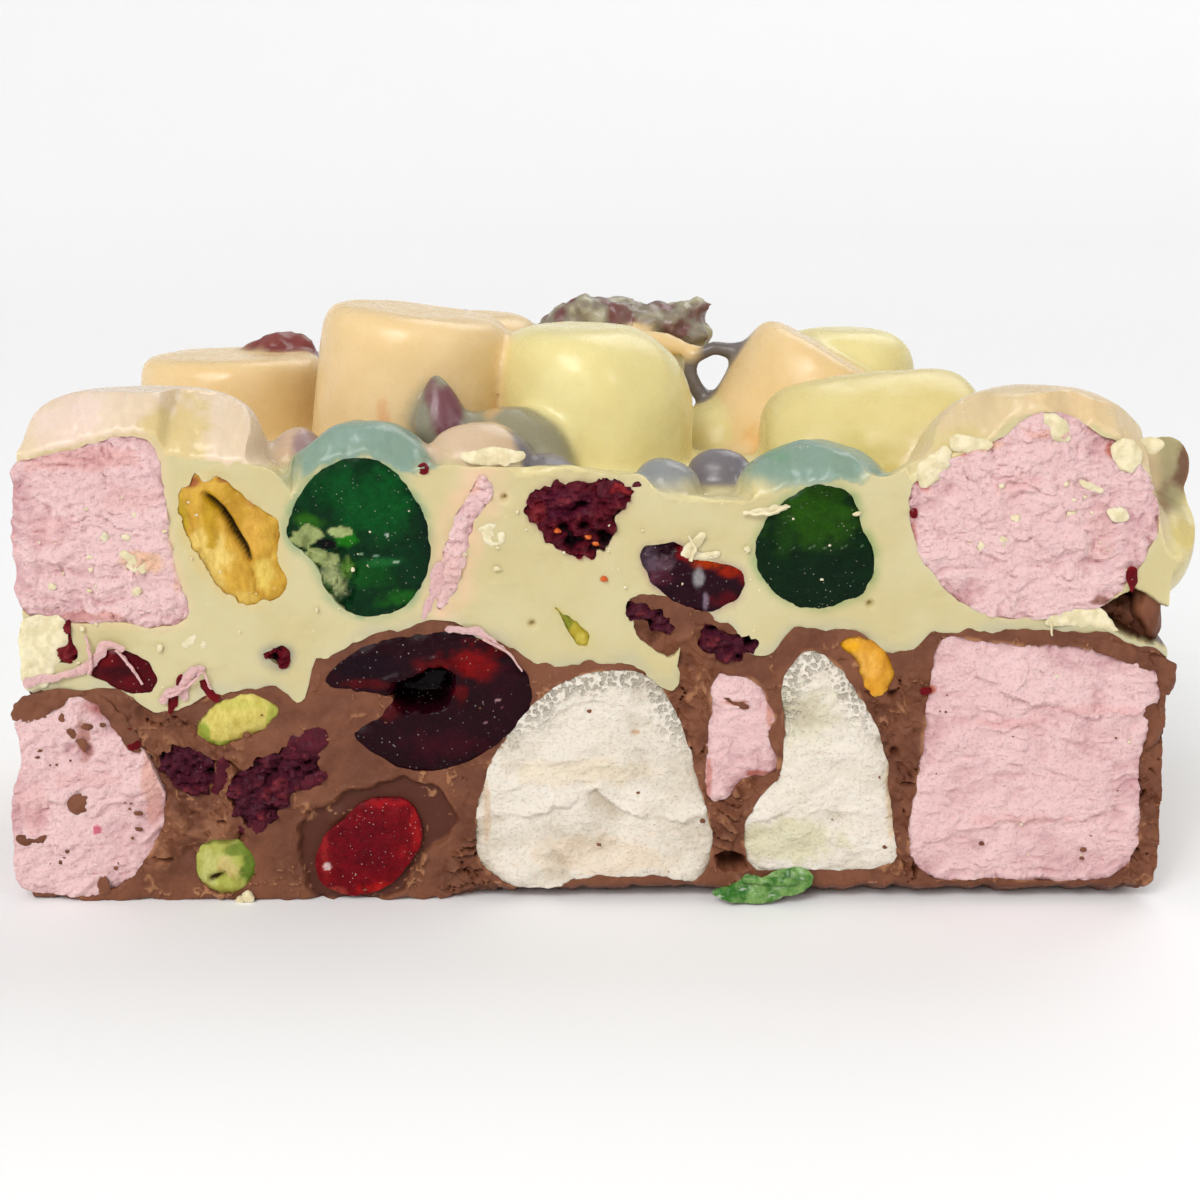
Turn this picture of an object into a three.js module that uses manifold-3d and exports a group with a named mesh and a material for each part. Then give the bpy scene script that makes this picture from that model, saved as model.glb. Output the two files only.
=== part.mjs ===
// A thick slice of a two-layer chocolate slab, packed with marshmallows, cherries, cranberries and
// pistachios. Milk chocolate lies below, white chocolate above, and both were poured over the pieces.
// The front, the back and the left end are cut faces. The right end kept the shape of its mould.
// Millimetres. X runs along the cut front, Y goes in from it, and Z is up from the flat base.

import * as THREE from "three";
import { mergeVertices } from "three/addons/utils/BufferGeometryUtils.js";
import Module from "manifold-3d";

const wasm = await Module();
wasm.setup();

// ---------------------------------------------------------------------------- driving dimensions

const SLICE_DEPTH = 70; // from the cut front to the cut back
const BLANK_TOP = 90; // higher than every lump
const LEFT_BASE = -71; // the left end leans out a little towards the base
const LEFT_TOP = -68.2; // measured at the blank's top, as is the next end
const RIGHT_BASE = 69.6; // the mould's draft
const RIGHT_TOP = 67.4;
const MOULD_CORNER = 5; // radius along the base of the moulded end
const WHITE_BACK = 51; // top of the white layer behind the lumps at the front edge
const MILK_BACK = 28; // top of the milk layer away from the cut front
const FRONT_BLEND = 14; // how far in the shape of a cut edge reaches
const GAP = 0.3; // between pieces that touch
const LEAD = 1; // how far a cutting shape starts outside the face that it cuts
const COLUMN_PITCH = 6; // spacing of the layers' columns along X
const OUTLINE_PITCH = 4.4; // spacing of the points round a cut piece
const LARGE_SIZE = 8; // half width from which a piece is drawn more finely
const LARGE_FACETS = [14, 7]; // sides and rings of a large round piece
const SMALL_FACETS = [9, 5];

// Rows in from the front, closer together where the front lumps are.
const LAYER_ROWS = [0, 5, 9, 14, 28, 42, 56, SLICE_DEPTH];
const TOP_ROWS = [0, 2, 4, 7, 10, 14, 19, 25, 32, 40, 48, 56, 64, SLICE_DEPTH];

// Height of the milk layer along the cut front: [x, z].
const MILK_EDGE = [
  [-72, 27.5], [-60, 27.5], [-53, 24.5], [-46, 27], [-40, 27.5], [-36.5, 26], [-34, 31.5],
  [-26, 34.5], [-19.5, 36.5], [-13, 33.5], [-6, 30.5], [3, 31], [8.5, 28], [11, 38], [15, 35.5],
  [19.5, 31.5], [24, 35], [30, 35], [36, 32], [42, 34.8], [60, 34.8], [66, 33], [71, 31],
];

// Height of the white layer along the cut front, between the lumps: [x, z].
const WHITE_EDGE = [
  [-72, 55], [-67, 57], [-53, 59.5], [-50.5, 56], [-40, 55], [-37, 53.5], [-29, 56.7], [-21, 54.8],
  [-4, 54.6], [4, 54], [8, 51.5], [13, 50.5], [19, 50.6], [27, 53], [33, 53.8], [38, 55.5],
  [47, 59], [53, 63], [60, 60.5], [66, 55], [70, 51],
];

// Swells of the white layer over what it covers: [x, y, half width, half depth, top, squareness].
const SWELLS = [
  [-28.5, 4.5, 10, 9.5, 59.5, 2], // over the green cherry on the left
  [26, 5.5, 9.5, 9, 57, 2], // over the green cherry on the right
  [-14.5, 6.5, 7.6, 6, 59.3, 2.2],
  [-12, 15, 9.5, 6, 60, 2],
  [-37.5, 11, 4.6, 5.5, 58, 2],
  [-6.5, 5.5, 4.4, 4, 55.6, 2],
  [8, 5, 4.4, 4.6, 55.5, 2],
  [-58, 27, 8, 7, 56.5, 2],
  [57, 42, 10, 11, 57.5, 2.6],
  [60, 62, 6, 6, 55, 2],
  [-62, 64, 7, 6, 55, 2],
  [-36, 63, 7, 6, 56.5, 2],
  [-3, 44, 8, 5, 55, 2],
];

// Pieces that the cut front shows: outlines [x, z], and how far each piece goes in.
const FRONT_PIECES = {
  marshmallow_pink_upper_left: {
    deep: 20,
    around: [
      [-69.5, 55], [-62, 57], [-54, 58.7], [-52, 54], [-51.5, 46], [-50.3, 35.8], [-59, 35.8],
      [-69.5, 36.8], [-70.4, 43], [-70.2, 50],
    ],
  },
  marshmallow_pink_lower_left: {
    deep: 19,
    around: [
      [-71.5, 23.5], [-71, 19], [-72.8, 13], [-72.8, 7], [-72.6, 2], [-68, 0.9], [-61, 1.2],
      [-56, 6], [-53.7, 12.5], [-55.6, 19], [-62, 26], [-67, 26.3],
    ],
  },
  marshmallow_pink_upper_right: {
    deep: 14,
    around: [
      [37, 52], [38, 45], [44, 38], [52, 36.2], [61, 38.3], [65.3, 43.5], [66.8, 49], [63.5, 56],
      [57.5, 59.5], [52.5, 61.8], [46.5, 57.6], [40, 55.2],
    ],
  },
  marshmallow_pink_lower_right: {
    deep: 21,
    around: [
      [41.5, 33.8], [48.5, 33.2], [63.5, 32], [68, 30], [67.8, 24], [66.4, 18], [66.8, 9],
      [65.8, 4], [60, 2.7], [46, 3], [39.2, 3.6], [38.6, 10], [39.5, 20], [40.2, 29],
    ],
  },
  marshmallow_white_wide: {
    deep: 20,
    around: [
      [-3.5, 29], [2, 29.8], [6, 29], [9, 25], [11.8, 17], [13.8, 9], [13.3, 3.3], [5, 3.3],
      [-2, 3.1], [-8, 1.6], [-14, 3.5], [-15.5, 9.5], [-13.3, 18.2], [-9, 24.5],
    ],
  },
  marshmallow_white_narrow: {
    deep: 16,
    around: [
      [22.5, 29], [25, 32.3], [28, 31.3], [32, 26], [35, 19.5], [36, 12], [36.3, 5], [32, 4],
      [25, 4.3], [19, 4.2], [17.7, 9], [19.5, 13.6], [22.4, 17], [22.3, 23.5],
    ],
  },
  marshmallow_pink_small: {
    deep: 8,
    around: [[14.5, 29.4], [18, 29], [21, 24.5], [21, 18.5], [17.8, 16], [14.8, 15], [13, 21]],
  },
  marshmallow_pink_strip: {
    deep: 6,
    around: [
      [-14.3, 54], [-12, 54], [-13.4, 51], [-15.4, 46], [-17.2, 40], [-19, 36.8], [-19.5, 40],
      [-18.8, 44], [-16.8, 49.5],
    ],
  },
  cherry_green_left: {
    deep: 13,
    around: [
      [-37.5, 46.5], [-35.5, 52], [-31.5, 55.4], [-26.5, 55.8], [-22.5, 52], [-20.2, 45.5],
      [-21.3, 41], [-24, 37.2], [-29.5, 37], [-32.3, 37.3], [-33, 41], [-35, 44],
    ],
  },
  cherry_green_right: {
    deep: 13,
    around: [
      [26, 52.8], [29.5, 52], [31, 48.5], [33, 44], [32.5, 40.5], [28.5, 38], [23.5, 38],
      [19.5, 41.5], [18.5, 45], [21, 50],
    ],
  },
  cherry_dark_hollow: {
    deep: 15,
    around: [
      [-33.5, 28.3], [-30, 32], [-25, 33.8], [-18, 34.6], [-13, 33], [-9, 29.5], [-8.5, 25],
      [-12, 21], [-17, 17.8], [-24, 17.2], [-30, 21.5], [-27, 24], [-25.5, 26.3], [-29.5, 27.2],
    ],
  },
  cherry_red_low: {
    deep: 12,
    around: [
      [-35, 7], [-32, 10.5], [-27.5, 13.5], [-23, 12.5], [-22, 8], [-24, 4.5], [-27, 1.6],
      [-33.5, 1], [-35.3, 3.5],
    ],
  },
  cherry_dark_half: {
    deep: 9,
    around: [
      [5, 44.8], [10, 45.5], [12, 44], [18.3, 41.5], [16, 38.5], [12, 37], [8.5, 39], [6, 41],
    ],
  },
  cherry_dark_left: {
    deep: 6,
    around: [[-62.5, 29.6], [-60, 32.3], [-56, 31.8], [-53.6, 27.8], [-56.5, 26.8], [-59.5, 28]],
  },
  cranberry_sliver_left: {
    deep: 3,
    around: [[-64.3, 35.2], [-63, 34.3], [-62.9, 32], [-64.6, 31], [-65.4, 33.3]],
  },
  cranberry_upper: {
    deep: 8,
    around: [
      [-9, 50], [-6, 53], [0, 53], [5, 52.3], [1.8, 50], [2, 46], [-2.5, 43.6], [-6.5, 46.3],
    ],
  },
  cranberry_pair_a: {
    deep: 4,
    around: [[3.5, 38.6], [6, 37.8], [9.2, 35.6], [8.6, 34.1], [5.2, 35.5], [3.3, 37]],
  },
  cranberry_pair_b: {
    deep: 5,
    around: [[12.8, 35.5], [15, 34.6], [19, 33.4], [17, 31.2], [14, 31.2], [12, 32.6]],
  },
  cranberry_low_a: {
    deep: 5,
    around: [
      [-54.3, 18.6], [-52.3, 20.5], [-49, 19.3], [-47, 18], [-47.3, 15.3], [-49.5, 13.9],
      [-52.3, 15],
    ],
  },
  cranberry_low_b: {
    deep: 6,
    around: [
      [-45.8, 14.2], [-42.5, 18.3], [-36, 20.8], [-33, 21.8], [-36, 18], [-34.3, 15.6],
      [-38, 13.8], [-40, 10.6], [-44, 9.4], [-44, 12],
    ],
  },
  cranberry_chip: { deep: 3, around: [[-41, 32], [-38.3, 32.8], [-37.4, 31.6], [-39.2, 30]] },
  pistachio_upper: {
    deep: 7,
    around: [
      [-50, 51], [-47.5, 53.8], [-44, 53], [-38.9, 47], [-38.2, 40.5], [-41, 37.8], [-47, 41],
      [-49.7, 46],
    ],
  },
  pistachio_mid: {
    deep: 6,
    around: [
      [-49.5, 22.2], [-47, 25.6], [-42, 26.8], [-39.4, 25.2], [-39.8, 23.2], [-43.5, 21.5],
      [-47.5, 20.2],
    ],
  },
  pistachio_low: {
    deep: 7,
    around: [[-50.4, 4], [-48.5, 8.4], [-45, 8], [-42.7, 4.5], [-45, 1.2], [-48.5, 1.4]],
  },
  pistachio_sliver: {
    deep: 3,
    around: [[-5.4, 37.7], [-2, 35.2], [-1, 33.8], [-2.2, 32.6], [-4.2, 35.3]],
  },
  pistachio_right: {
    deep: 6,
    around: [
      [28.8, 33.2], [31, 34.2], [34.5, 32.4], [35.8, 29.5], [34.8, 26.8], [33, 26.6],
      [31.6, 29.2], [30.8, 31.4],
    ],
  },
};

// Pieces that the cut back shows, as ovals: [x, z, width, height, tilt in degrees, squareness].
const BACK_PIECES = {
  marshmallow_back_pink_right: { deep: 20, oval: [48, 17, 27, 27, 8, 3.2] },
  marshmallow_back_white_right: { deep: 19, oval: [15, 15, 25, 24, -6, 2.8] },
  marshmallow_back_white_left: { deep: 20, oval: [-19, 14.5, 26, 23, 10, 3] },
  marshmallow_back_pink_left: { deep: 18, oval: [-53, 39.5, 24, 19, -8, 3] },
  cherry_back_green: { deep: 13, oval: [24, 42, 16, 13.5, 0, 2.2] },
  cherry_back_red: { deep: 12, oval: [-8, 40.5, 15, 13, 15, 2.1] },
  cherry_back_dark: { deep: 13, oval: [-51, 15, 18, 15, -20, 2.1] },
  cranberry_back_right: { deep: 6, oval: [45, 42, 12, 6, 22, 2] },
  cranberry_back_left: { deep: 5, oval: [-28, 37, 9, 5.5, -30, 2] },
  pistachio_back_right: { deep: 7, oval: [60.5, 42, 7, 11, 18, 2.1] },
  pistachio_back_left: { deep: 7, oval: [2, 30, 10, 6, -12, 2.1] },
};

// Pieces that the cut left end shows, with y in place of x.
const LEFT_PIECES = {
  cherry_left_end: { deep: 12, oval: [35, 41, 16, 13, 10, 2.1] },
  marshmallow_left_end: { deep: 13, oval: [40, 14, 22, 21, -6, 3] },
  pistachio_left_end: { deep: 7, oval: [24, 28.5, 10, 6, 20, 2.1] },
};

// Coated pieces on top. at is the centre, size the half sizes, lean tips the top to the right and
// tip tips it to the back, both in degrees. Squareness 2 is an ellipsoid, more is a rounded drum.
const COATED_PIECES = {
  coated_marshmallow_tall_middle: { at: [-0.6, 28, 55.8], size: [12.9, 13.2, 13], square: 4 },
  coated_marshmallow_tall_left: {
    at: [-26.2, 29, 56.4], size: [12.9, 13, 14.4], lean: 12, square: 6,
  },
  coated_marshmallow_back_left: { at: [-51.6, 46, 51], size: [12.8, 12.6, 12.4], square: 6 },
  coated_marshmallow_right_lying: {
    at: [36, 25, 51], size: [12, 12.2, 14.5], lean: 84, square: 3.6,
  },
  coated_marshmallow_back_right: {
    at: [26.6, 45, 51.4], size: [12.2, 11.6, 13.6], lean: 30, square: 6,
  },
  coated_marshmallow_far_right: { at: [35.6, 59.4, 54.4], size: [10.8, 9.6, 11.2], square: 3.2 },
  coated_marshmallow_back_middle: { at: [-19.5, 55, 56.2], size: [11.3, 11, 12], square: 4 },
  coated_marshmallow_back_centre: { at: [3.4, 57, 52], size: [10.2, 11, 12.6], square: 4 },
  coated_cranberry_cluster: {
    square: 2,
    lumps: [
      [-3.4, 58, 65.8, 4, 3.8, 3.2], [0.8, 58, 67, 4.6, 4.4, 3.8],
      [6.4, 57.5, 66.4, 5, 4.4, 3.2], [10.8, 58, 67.2, 4.4, 4, 3.8],
    ],
  },
  coated_cranberry_left: { at: [-45.6, 52, 61.9], size: [4.7, 4, 2.9], square: 2 },
  coated_cranberry_pointed: { at: [-19.8, 14, 58.4], size: [3.2, 3, 5.4], lean: -8, square: 2 },
  coated_cranberry_right: { at: [15, 12.5, 52.3], size: [4, 3.2, 2.8], square: 2 },
  coated_cranberry_edge: { at: [69.6, 7, 53.6], size: [3, 4.2, 4], square: 2 },
};

// The white coat over the two marshmallows that stand highest at the cut front.
const COAT_HUMPS = [
  { at: [-55.2, 6, 50.6], size: [14.6, 13, 12.6], square: 3.6 },
  { at: [52.6, 6, 49.2], size: [15.4, 13, 14.6], square: 2.4 },
];

// Hollows torn open at the cut front: [x, y, z, half sizes], and the white run down the moulded end.
const CHERRY_HOLLOW = [-21.5, 0, 27, 4.6, 6, 2.6];
const BASE_HOLLOW = [16, 0, 5.6, 1.7, 4, 1.2];
const RIGHT_HOLLOW = [65.6, 0, 36, 3.4, 6, 2.6];
const WHITE_RUN = [68.6, 8, 45.5, 4.3, 8.5, 8];
const CHERRY_SCRAP = { at: [20, -2.8, 3], size: [2.1, 2.4, 6.8], lean: 76, square: 2.4 };

// --------------------------------------------------------------------------------------- finishes

const FINISHES = {
  white_chocolate: { color: 0xded2a0, roughness: 0.45 },
  milk_chocolate: { color: 0x80553c, roughness: 0.5 },
  pink_marshmallow: { color: 0xecccd4, roughness: 0.85 },
  white_marshmallow: { color: 0xebe4da, roughness: 0.85 },
  green_cherry: { color: 0x0a4a18, roughness: 0.15 },
  dark_cherry: { color: 0x4a0a14, roughness: 0.15 },
  red_cherry: { color: 0xa01414, roughness: 0.15 },
  cranberry: { color: 0x5a1020, roughness: 0.4 },
  pistachio: { color: 0xc0aa48, roughness: 0.55 },
  coating: { color: 0xece0a8, roughness: 0.3 },
  dark_coating: { color: 0x8c8478, roughness: 0.35 },
};

function finishOf(name) {
  if (name.startsWith("coated_cranberry")) return "dark_coating";
  if (name.startsWith("coated")) return "coating";
  if (name.startsWith("marshmallow")) {
    const isPink = name.includes("pink") || name.includes("left_end");
    return isPink ? "pink_marshmallow" : "white_marshmallow";
  }
  if (name.startsWith("cranberry")) return "cranberry";
  if (name.startsWith("pistachio")) return "pistachio";
  if (name.includes("green") || name.includes("left_end")) return "green_cherry";
  return name.includes("red") ? "red_cherry" : "dark_cherry";
}

// ------------------------------------------------------------------------------ solids and meshes

function solidFrom(geometry) {
  const bare = geometry.index ? geometry.clone() : geometry;
  bare.deleteAttribute("normal");
  bare.deleteAttribute("uv");
  const merged = mergeVertices(bare, 1e-4);
  return new wasm.Manifold(
    new wasm.Mesh({
      numProp: 3,
      vertProperties: Float32Array.from(merged.attributes.position.array),
      triVerts: Uint32Array.from(merged.index.array),
    }),
  );
}

function largestOf(solid) {
  const bodies = solid.decompose();
  return bodies.reduce((best, body) => (body.volume() > best.volume() ? body : best));
}

function meshFrom(name, solid, finish = finishOf(name)) {
  const { vertProperties, triVerts } = largestOf(solid).getMesh();
  const geometry = new THREE.BufferGeometry();
  geometry.setAttribute("position", new THREE.BufferAttribute(vertProperties, 3));
  geometry.setIndex(new THREE.BufferAttribute(triVerts, 1));
  geometry.computeVertexNormals();
  const mesh = new THREE.Mesh(
    geometry,
    new THREE.MeshStandardMaterial({ ...FINISHES[finish], metalness: 0 }),
  );
  mesh.name = name;
  return mesh;
}

function geometryOf(positions, triangles) {
  const geometry = new THREE.BufferGeometry();
  geometry.setAttribute("position", new THREE.Float32BufferAttribute(positions, 3));
  geometry.setIndex(triangles);
  return geometry;
}

// --------------------------------------------------------------------------------- cut-open pieces

// A smooth closed outline through a few points.
function smoothOutline(points) {
  const corners = points.map(([x, z]) => new THREE.Vector3(x, z, 0));
  const curve = new THREE.CatmullRomCurve3(corners, true, "centripetal");
  const count = THREE.MathUtils.clamp(Math.round(curve.getLength() / OUTLINE_PITCH), 8, 20);
  return curve.getSpacedPoints(count).slice(0, count).map((p) => new THREE.Vector2(p.x, p.y));
}

// A squarish oval, tilted.
function ovalOutline([x, z, width, height, tilt, squareness]) {
  const count = THREE.MathUtils.clamp(Math.round((width + height) * 0.4), 10, 18);
  const centre = new THREE.Vector2(x, z);
  return Array.from({ length: count }, (_, i) => {
    const angle = (i / count) * Math.PI * 2;
    const c = Math.cos(angle);
    const s = Math.sin(angle);
    const reach = (Math.abs(c) ** squareness + Math.abs(s) ** squareness) ** (-1 / squareness);
    const point = new THREE.Vector2((width / 2) * c * reach, (height / 2) * s * reach);
    return point.rotateAround(new THREE.Vector2(), THREE.MathUtils.degToRad(tilt)).add(centre);
  });
}

function grown(outline, margin) {
  return outline.map((point, i) => {
    const before = outline[(i + outline.length - 1) % outline.length];
    const after = outline[(i + 1) % outline.length];
    const along = after.clone().sub(before).normalize();
    return new THREE.Vector2(point.x + along.y * margin, point.y - along.x * margin);
  });
}

// A piece with a flat face of the given outline, and a rounded end hidden deep behind it.
function plug(around, { deep, blunt, steps }, lead = 0) {
  const centre = around.reduce((sum, p) => sum.add(p), new THREE.Vector2());
  centre.divideScalar(around.length);
  const rings = lead > 0 ? [[-lead, 1]] : [];
  for (let k = 0; k <= steps; k += 1) {
    const turn = ((k / steps) * Math.PI) / 2;
    rings.push([deep * Math.sin(turn), Math.max(Math.cos(turn) ** (1 / blunt), 0.3)]);
  }
  const positions = [];
  for (const [y, scale] of rings) {
    for (const p of around) {
      positions.push(centre.x + (p.x - centre.x) * scale, y, centre.y + (p.y - centre.y) * scale);
    }
  }
  const count = around.length;
  const triangles = [];
  const cap = THREE.ShapeUtils.triangulateShape(around, []);
  const last = (rings.length - 1) * count;
  for (const [a, b, c] of cap) {
    triangles.push(a, b, c, last + a, last + c, last + b);
  }
  for (let ring = 0; ring < rings.length - 1; ring += 1) {
    for (let i = 0; i < count; i += 1) {
      const a = ring * count + i;
      const b = ring * count + ((i + 1) % count);
      triangles.push(a, a + count, b, b, a + count, b + count);
    }
  }
  return geometryOf(positions, triangles);
}

// The piece itself and the pocket that it leaves in the chocolate, placed on one of the cut faces.
function cutPiece([name, { deep, around, oval }], place) {
  const drawn = around ? smoothOutline(around) : ovalOutline(oval);
  const outline = THREE.ShapeUtils.isClockWise(drawn) ? drawn.reverse() : drawn;
  const form = name.startsWith("marshmallow") ? { blunt: 2.4, steps: 3 } : { blunt: 1.4, steps: 2 };
  const piece = plug(outline, { deep, ...form }).applyMatrix4(place);
  const room = plug(grown(outline, GAP), { deep: deep + GAP, ...form }, LEAD);
  const pocket = room.applyMatrix4(place);
  return { name, solid: solidFrom(piece), pocket: solidFrom(pocket) };
}

function mirroredOvals(pieces) {
  return Object.entries(pieces).map(([name, { deep, oval: [across, z, w, h, tilt, sq] }]) => [
    name,
    { deep, oval: [-across, z, w, h, tilt, sq] },
  ]);
}

function cutPieces() {
  const front = new THREE.Matrix4();
  const back = new THREE.Matrix4().makeRotationZ(Math.PI).setPosition(0, SLICE_DEPTH, 0);
  const left = new THREE.Matrix4().makeRotationZ(-Math.PI / 2).setPosition(LEFT_BASE, 0, 0);
  return [
    ...Object.entries(FRONT_PIECES).map((entry) => cutPiece(entry, front)),
    ...mirroredOvals(BACK_PIECES).map((entry) => cutPiece(entry, back)),
    ...mirroredOvals(LEFT_PIECES).map((entry) => cutPiece(entry, left)),
  ];
}

// ------------------------------------------------------------------------------------ round pieces

// An ellipsoid or a drum with rounded edges, grown by a margin.
function roundPiece({ at, size, lean = 0, square }, margin = 0) {
  const facets = size[0] > LARGE_SIZE ? LARGE_FACETS : SMALL_FACETS;
  const geometry = new THREE.SphereGeometry(1, ...facets);
  geometry.rotateX(Math.PI / 2);
  const position = geometry.attributes.position;
  const point = new THREE.Vector3();
  for (let i = 0; i < position.count; i += 1) {
    point.fromBufferAttribute(position, i);
    const across = Math.hypot(point.x, point.y);
    point.multiplyScalar((across ** square + Math.abs(point.z) ** square) ** (-1 / square));
    position.setXYZ(i, point.x, point.y, point.z);
  }
  geometry.scale(size[0] + margin, size[1] + margin, size[2] + margin);
  geometry.rotateY(THREE.MathUtils.degToRad(lean));
  geometry.translate(...at);
  return solidFrom(geometry);
}

function ellipsoid([x, y, z, rx, ry, rz], margin = 0) {
  return roundPiece({ at: [x, y, z], size: [rx, ry, rz], square: 2 }, margin);
}

function coatedSolid(piece, margin = 0) {
  if (!piece.lumps) return roundPiece(piece, margin);
  return wasm.Manifold.union(piece.lumps.map((lump) => ellipsoid(lump, margin)));
}

// --------------------------------------------------------------------------------- the two layers

// Smooth interpolation through points sorted by their first number.
function profile(points) {
  return (x) => {
    const end = points.findIndex(([px]) => px >= x);
    if (end === 0) return points[0][1];
    if (end < 0) return points[points.length - 1][1];
    const [x0, z0] = points[end - 1];
    const [x1, z1] = points[end];
    return THREE.MathUtils.lerp(z0, z1, THREE.MathUtils.smootherstep(x, x0, x1));
  };
}

const milkEdge = profile(MILK_EDGE);
const whiteEdge = profile(WHITE_EDGE);

function milkTop(x, y) {
  const back = MILK_BACK + 2.2 * Math.sin(x / 13 + 1) + 1.2 * Math.sin(x / 5.5 + y / 9);
  return THREE.MathUtils.lerp(milkEdge(x), back, THREE.MathUtils.smoothstep(y, 2, FRONT_BLEND));
}

function swellTop([x0, y0, rx, ry, top, square], x, y) {
  const reach = (Math.abs((x - x0) / rx) ** square + Math.abs((y - y0) / ry) ** square);
  return reach < 1 ? WHITE_BACK + (top - WHITE_BACK) * (1 - reach) ** (1 / square) : 0;
}

function whiteTop(x, y) {
  const back = WHITE_BACK + 0.8 * Math.sin(x / 7 + y / 5);
  const blend = THREE.MathUtils.smoothstep(y, 0, FRONT_BLEND);
  const edge = THREE.MathUtils.lerp(whiteEdge(x), back, blend);
  return Math.max(edge, ...SWELLS.map((swell) => (y > 0 ? swellTop(swell, x, y) : 0)));
}

function columnsFor(edge) {
  const xs = edge.map(([x]) => x);
  const columns = [xs[0]];
  for (const x of xs.slice(1)) {
    const from = columns[columns.length - 1];
    const steps = Math.max(1, Math.round((x - from) / COLUMN_PITCH));
    for (let k = 1; k <= steps; k += 1) columns.push(from + ((x - from) * k) / steps);
  }
  return columns;
}

// A closed block between two height functions, on its own grid of columns and rows.
function heightBlock(columns, rows, bottom, top) {
  const positions = [];
  const surfaces = [bottom, top];
  for (const height of surfaces) {
    for (const y of rows) {
      for (const x of columns) positions.push(x, y, height(x, y));
    }
  }
  const across = columns.length;
  const level = across * rows.length;
  const at = (side, row, column) => side * level + row * across + column;
  const triangles = [];
  const quad = (a, b, c, d) => triangles.push(a, b, c, a, c, d);
  for (let r = 0; r < rows.length - 1; r += 1) {
    for (let c = 0; c < across - 1; c += 1) {
      quad(at(1, r, c), at(1, r, c + 1), at(1, r + 1, c + 1), at(1, r + 1, c));
      quad(at(0, r, c), at(0, r + 1, c), at(0, r + 1, c + 1), at(0, r, c + 1));
    }
    const right = across - 1;
    quad(at(0, r, 0), at(1, r, 0), at(1, r + 1, 0), at(0, r + 1, 0));
    quad(at(0, r, right), at(0, r + 1, right), at(1, r + 1, right), at(1, r, right));
  }
  const back = rows.length - 1;
  for (let c = 0; c < across - 1; c += 1) {
    quad(at(0, 0, c), at(0, 0, c + 1), at(1, 0, c + 1), at(1, 0, c));
    quad(at(0, back, c), at(1, back, c), at(1, back, c + 1), at(0, back, c + 1));
  }
  return solidFrom(geometryOf(positions, triangles));
}

// The slice's blank: the slab's end profile, cut square at front and back.
function blank() {
  const shape = new THREE.Shape();
  shape.moveTo(LEFT_BASE, 0);
  shape.lineTo(RIGHT_BASE - MOULD_CORNER, 0);
  shape.absarc(RIGHT_BASE - MOULD_CORNER, MOULD_CORNER, MOULD_CORNER, -Math.PI / 2, 0);
  shape.lineTo(RIGHT_TOP, BLANK_TOP);
  shape.lineTo(LEFT_TOP, BLANK_TOP);
  shape.closePath();
  const geometry = new THREE.ExtrudeGeometry(shape, {
    depth: SLICE_DEPTH,
    bevelEnabled: false,
    curveSegments: 5,
  });
  return solidFrom(geometry.rotateX(Math.PI / 2).translate(0, SLICE_DEPTH, 0));
}

function milkLayer(pockets) {
  const block = heightBlock(columnsFor(MILK_EDGE), LAYER_ROWS, () => 0, milkTop);
  const hollows = [BASE_HOLLOW, RIGHT_HOLLOW].map((hollow) => ellipsoid(hollow));
  return block.intersect(blank()).subtract(wasm.Manifold.union([...pockets, ...hollows]));
}

function whiteLayer(rooms) {
  const overMilk = (x, y) => milkTop(x, y) + GAP;
  const tall = heightBlock(columnsFor(MILK_EDGE), LAYER_ROWS, overMilk, () => BLANK_TOP);
  const under = heightBlock(columnsFor(WHITE_EDGE), TOP_ROWS, () => 0, whiteTop);
  const humps = COAT_HUMPS.map((hump) => roundPiece(hump));
  const topped = wasm.Manifold.union([under, ...humps]);
  const cuts = wasm.Manifold.union([...rooms, ellipsoid(RIGHT_HOLLOW)]);
  return tall.intersect(topped).intersect(blank()).add(ellipsoid(WHITE_RUN)).subtract(cuts);
}

// ------------------------------------------------------------------------------- the whole slice

const slice = new THREE.Group();

// Pieces that meet are pressed flat against each other: each gives way to those before it.
const taken = [];
function settle(name, solid, room) {
  slice.add(meshFrom(name, taken.length ? solid.subtract(wasm.Manifold.union(taken)) : solid));
  taken.push(room);
}

for (const { name, solid, pocket } of cutPieces()) {
  const isHollow = name === "cherry_dark_hollow";
  settle(name, isHollow ? solid.subtract(ellipsoid(CHERRY_HOLLOW)) : solid, pocket);
}
const pockets = [...taken];
for (const [name, piece] of Object.entries(COATED_PIECES)) {
  settle(name, coatedSolid(piece), coatedSolid(piece, GAP));
}
slice.add(meshFrom("cherry_green_scrap", roundPiece(CHERRY_SCRAP)));
slice.add(meshFrom("milk_chocolate_layer", milkLayer(pockets), "milk_chocolate"));
slice.add(meshFrom("white_chocolate_layer", whiteLayer(taken), "white_chocolate"));

// The origin is the middle of the base.
const box = new THREE.Box3().setFromObject(slice);
const centre = box.getCenter(new THREE.Vector3());
slice.position.set(-centre.x, -centre.y, 0);

const part = new THREE.Group();
part.add(slice);
export default part;
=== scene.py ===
"""The dressed look of a rocky road slice: milk and white chocolate, marshmallows, cherries and nuts.

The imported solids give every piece's place and outline. This script gives each cut face its torn relief,
melts the coated lumps into one skin of white chocolate and gives every surface its material.

Slice coordinates are used until a mesh is made: millimetres, x along the cut front, y in from it, z up.
"""

import math

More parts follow.
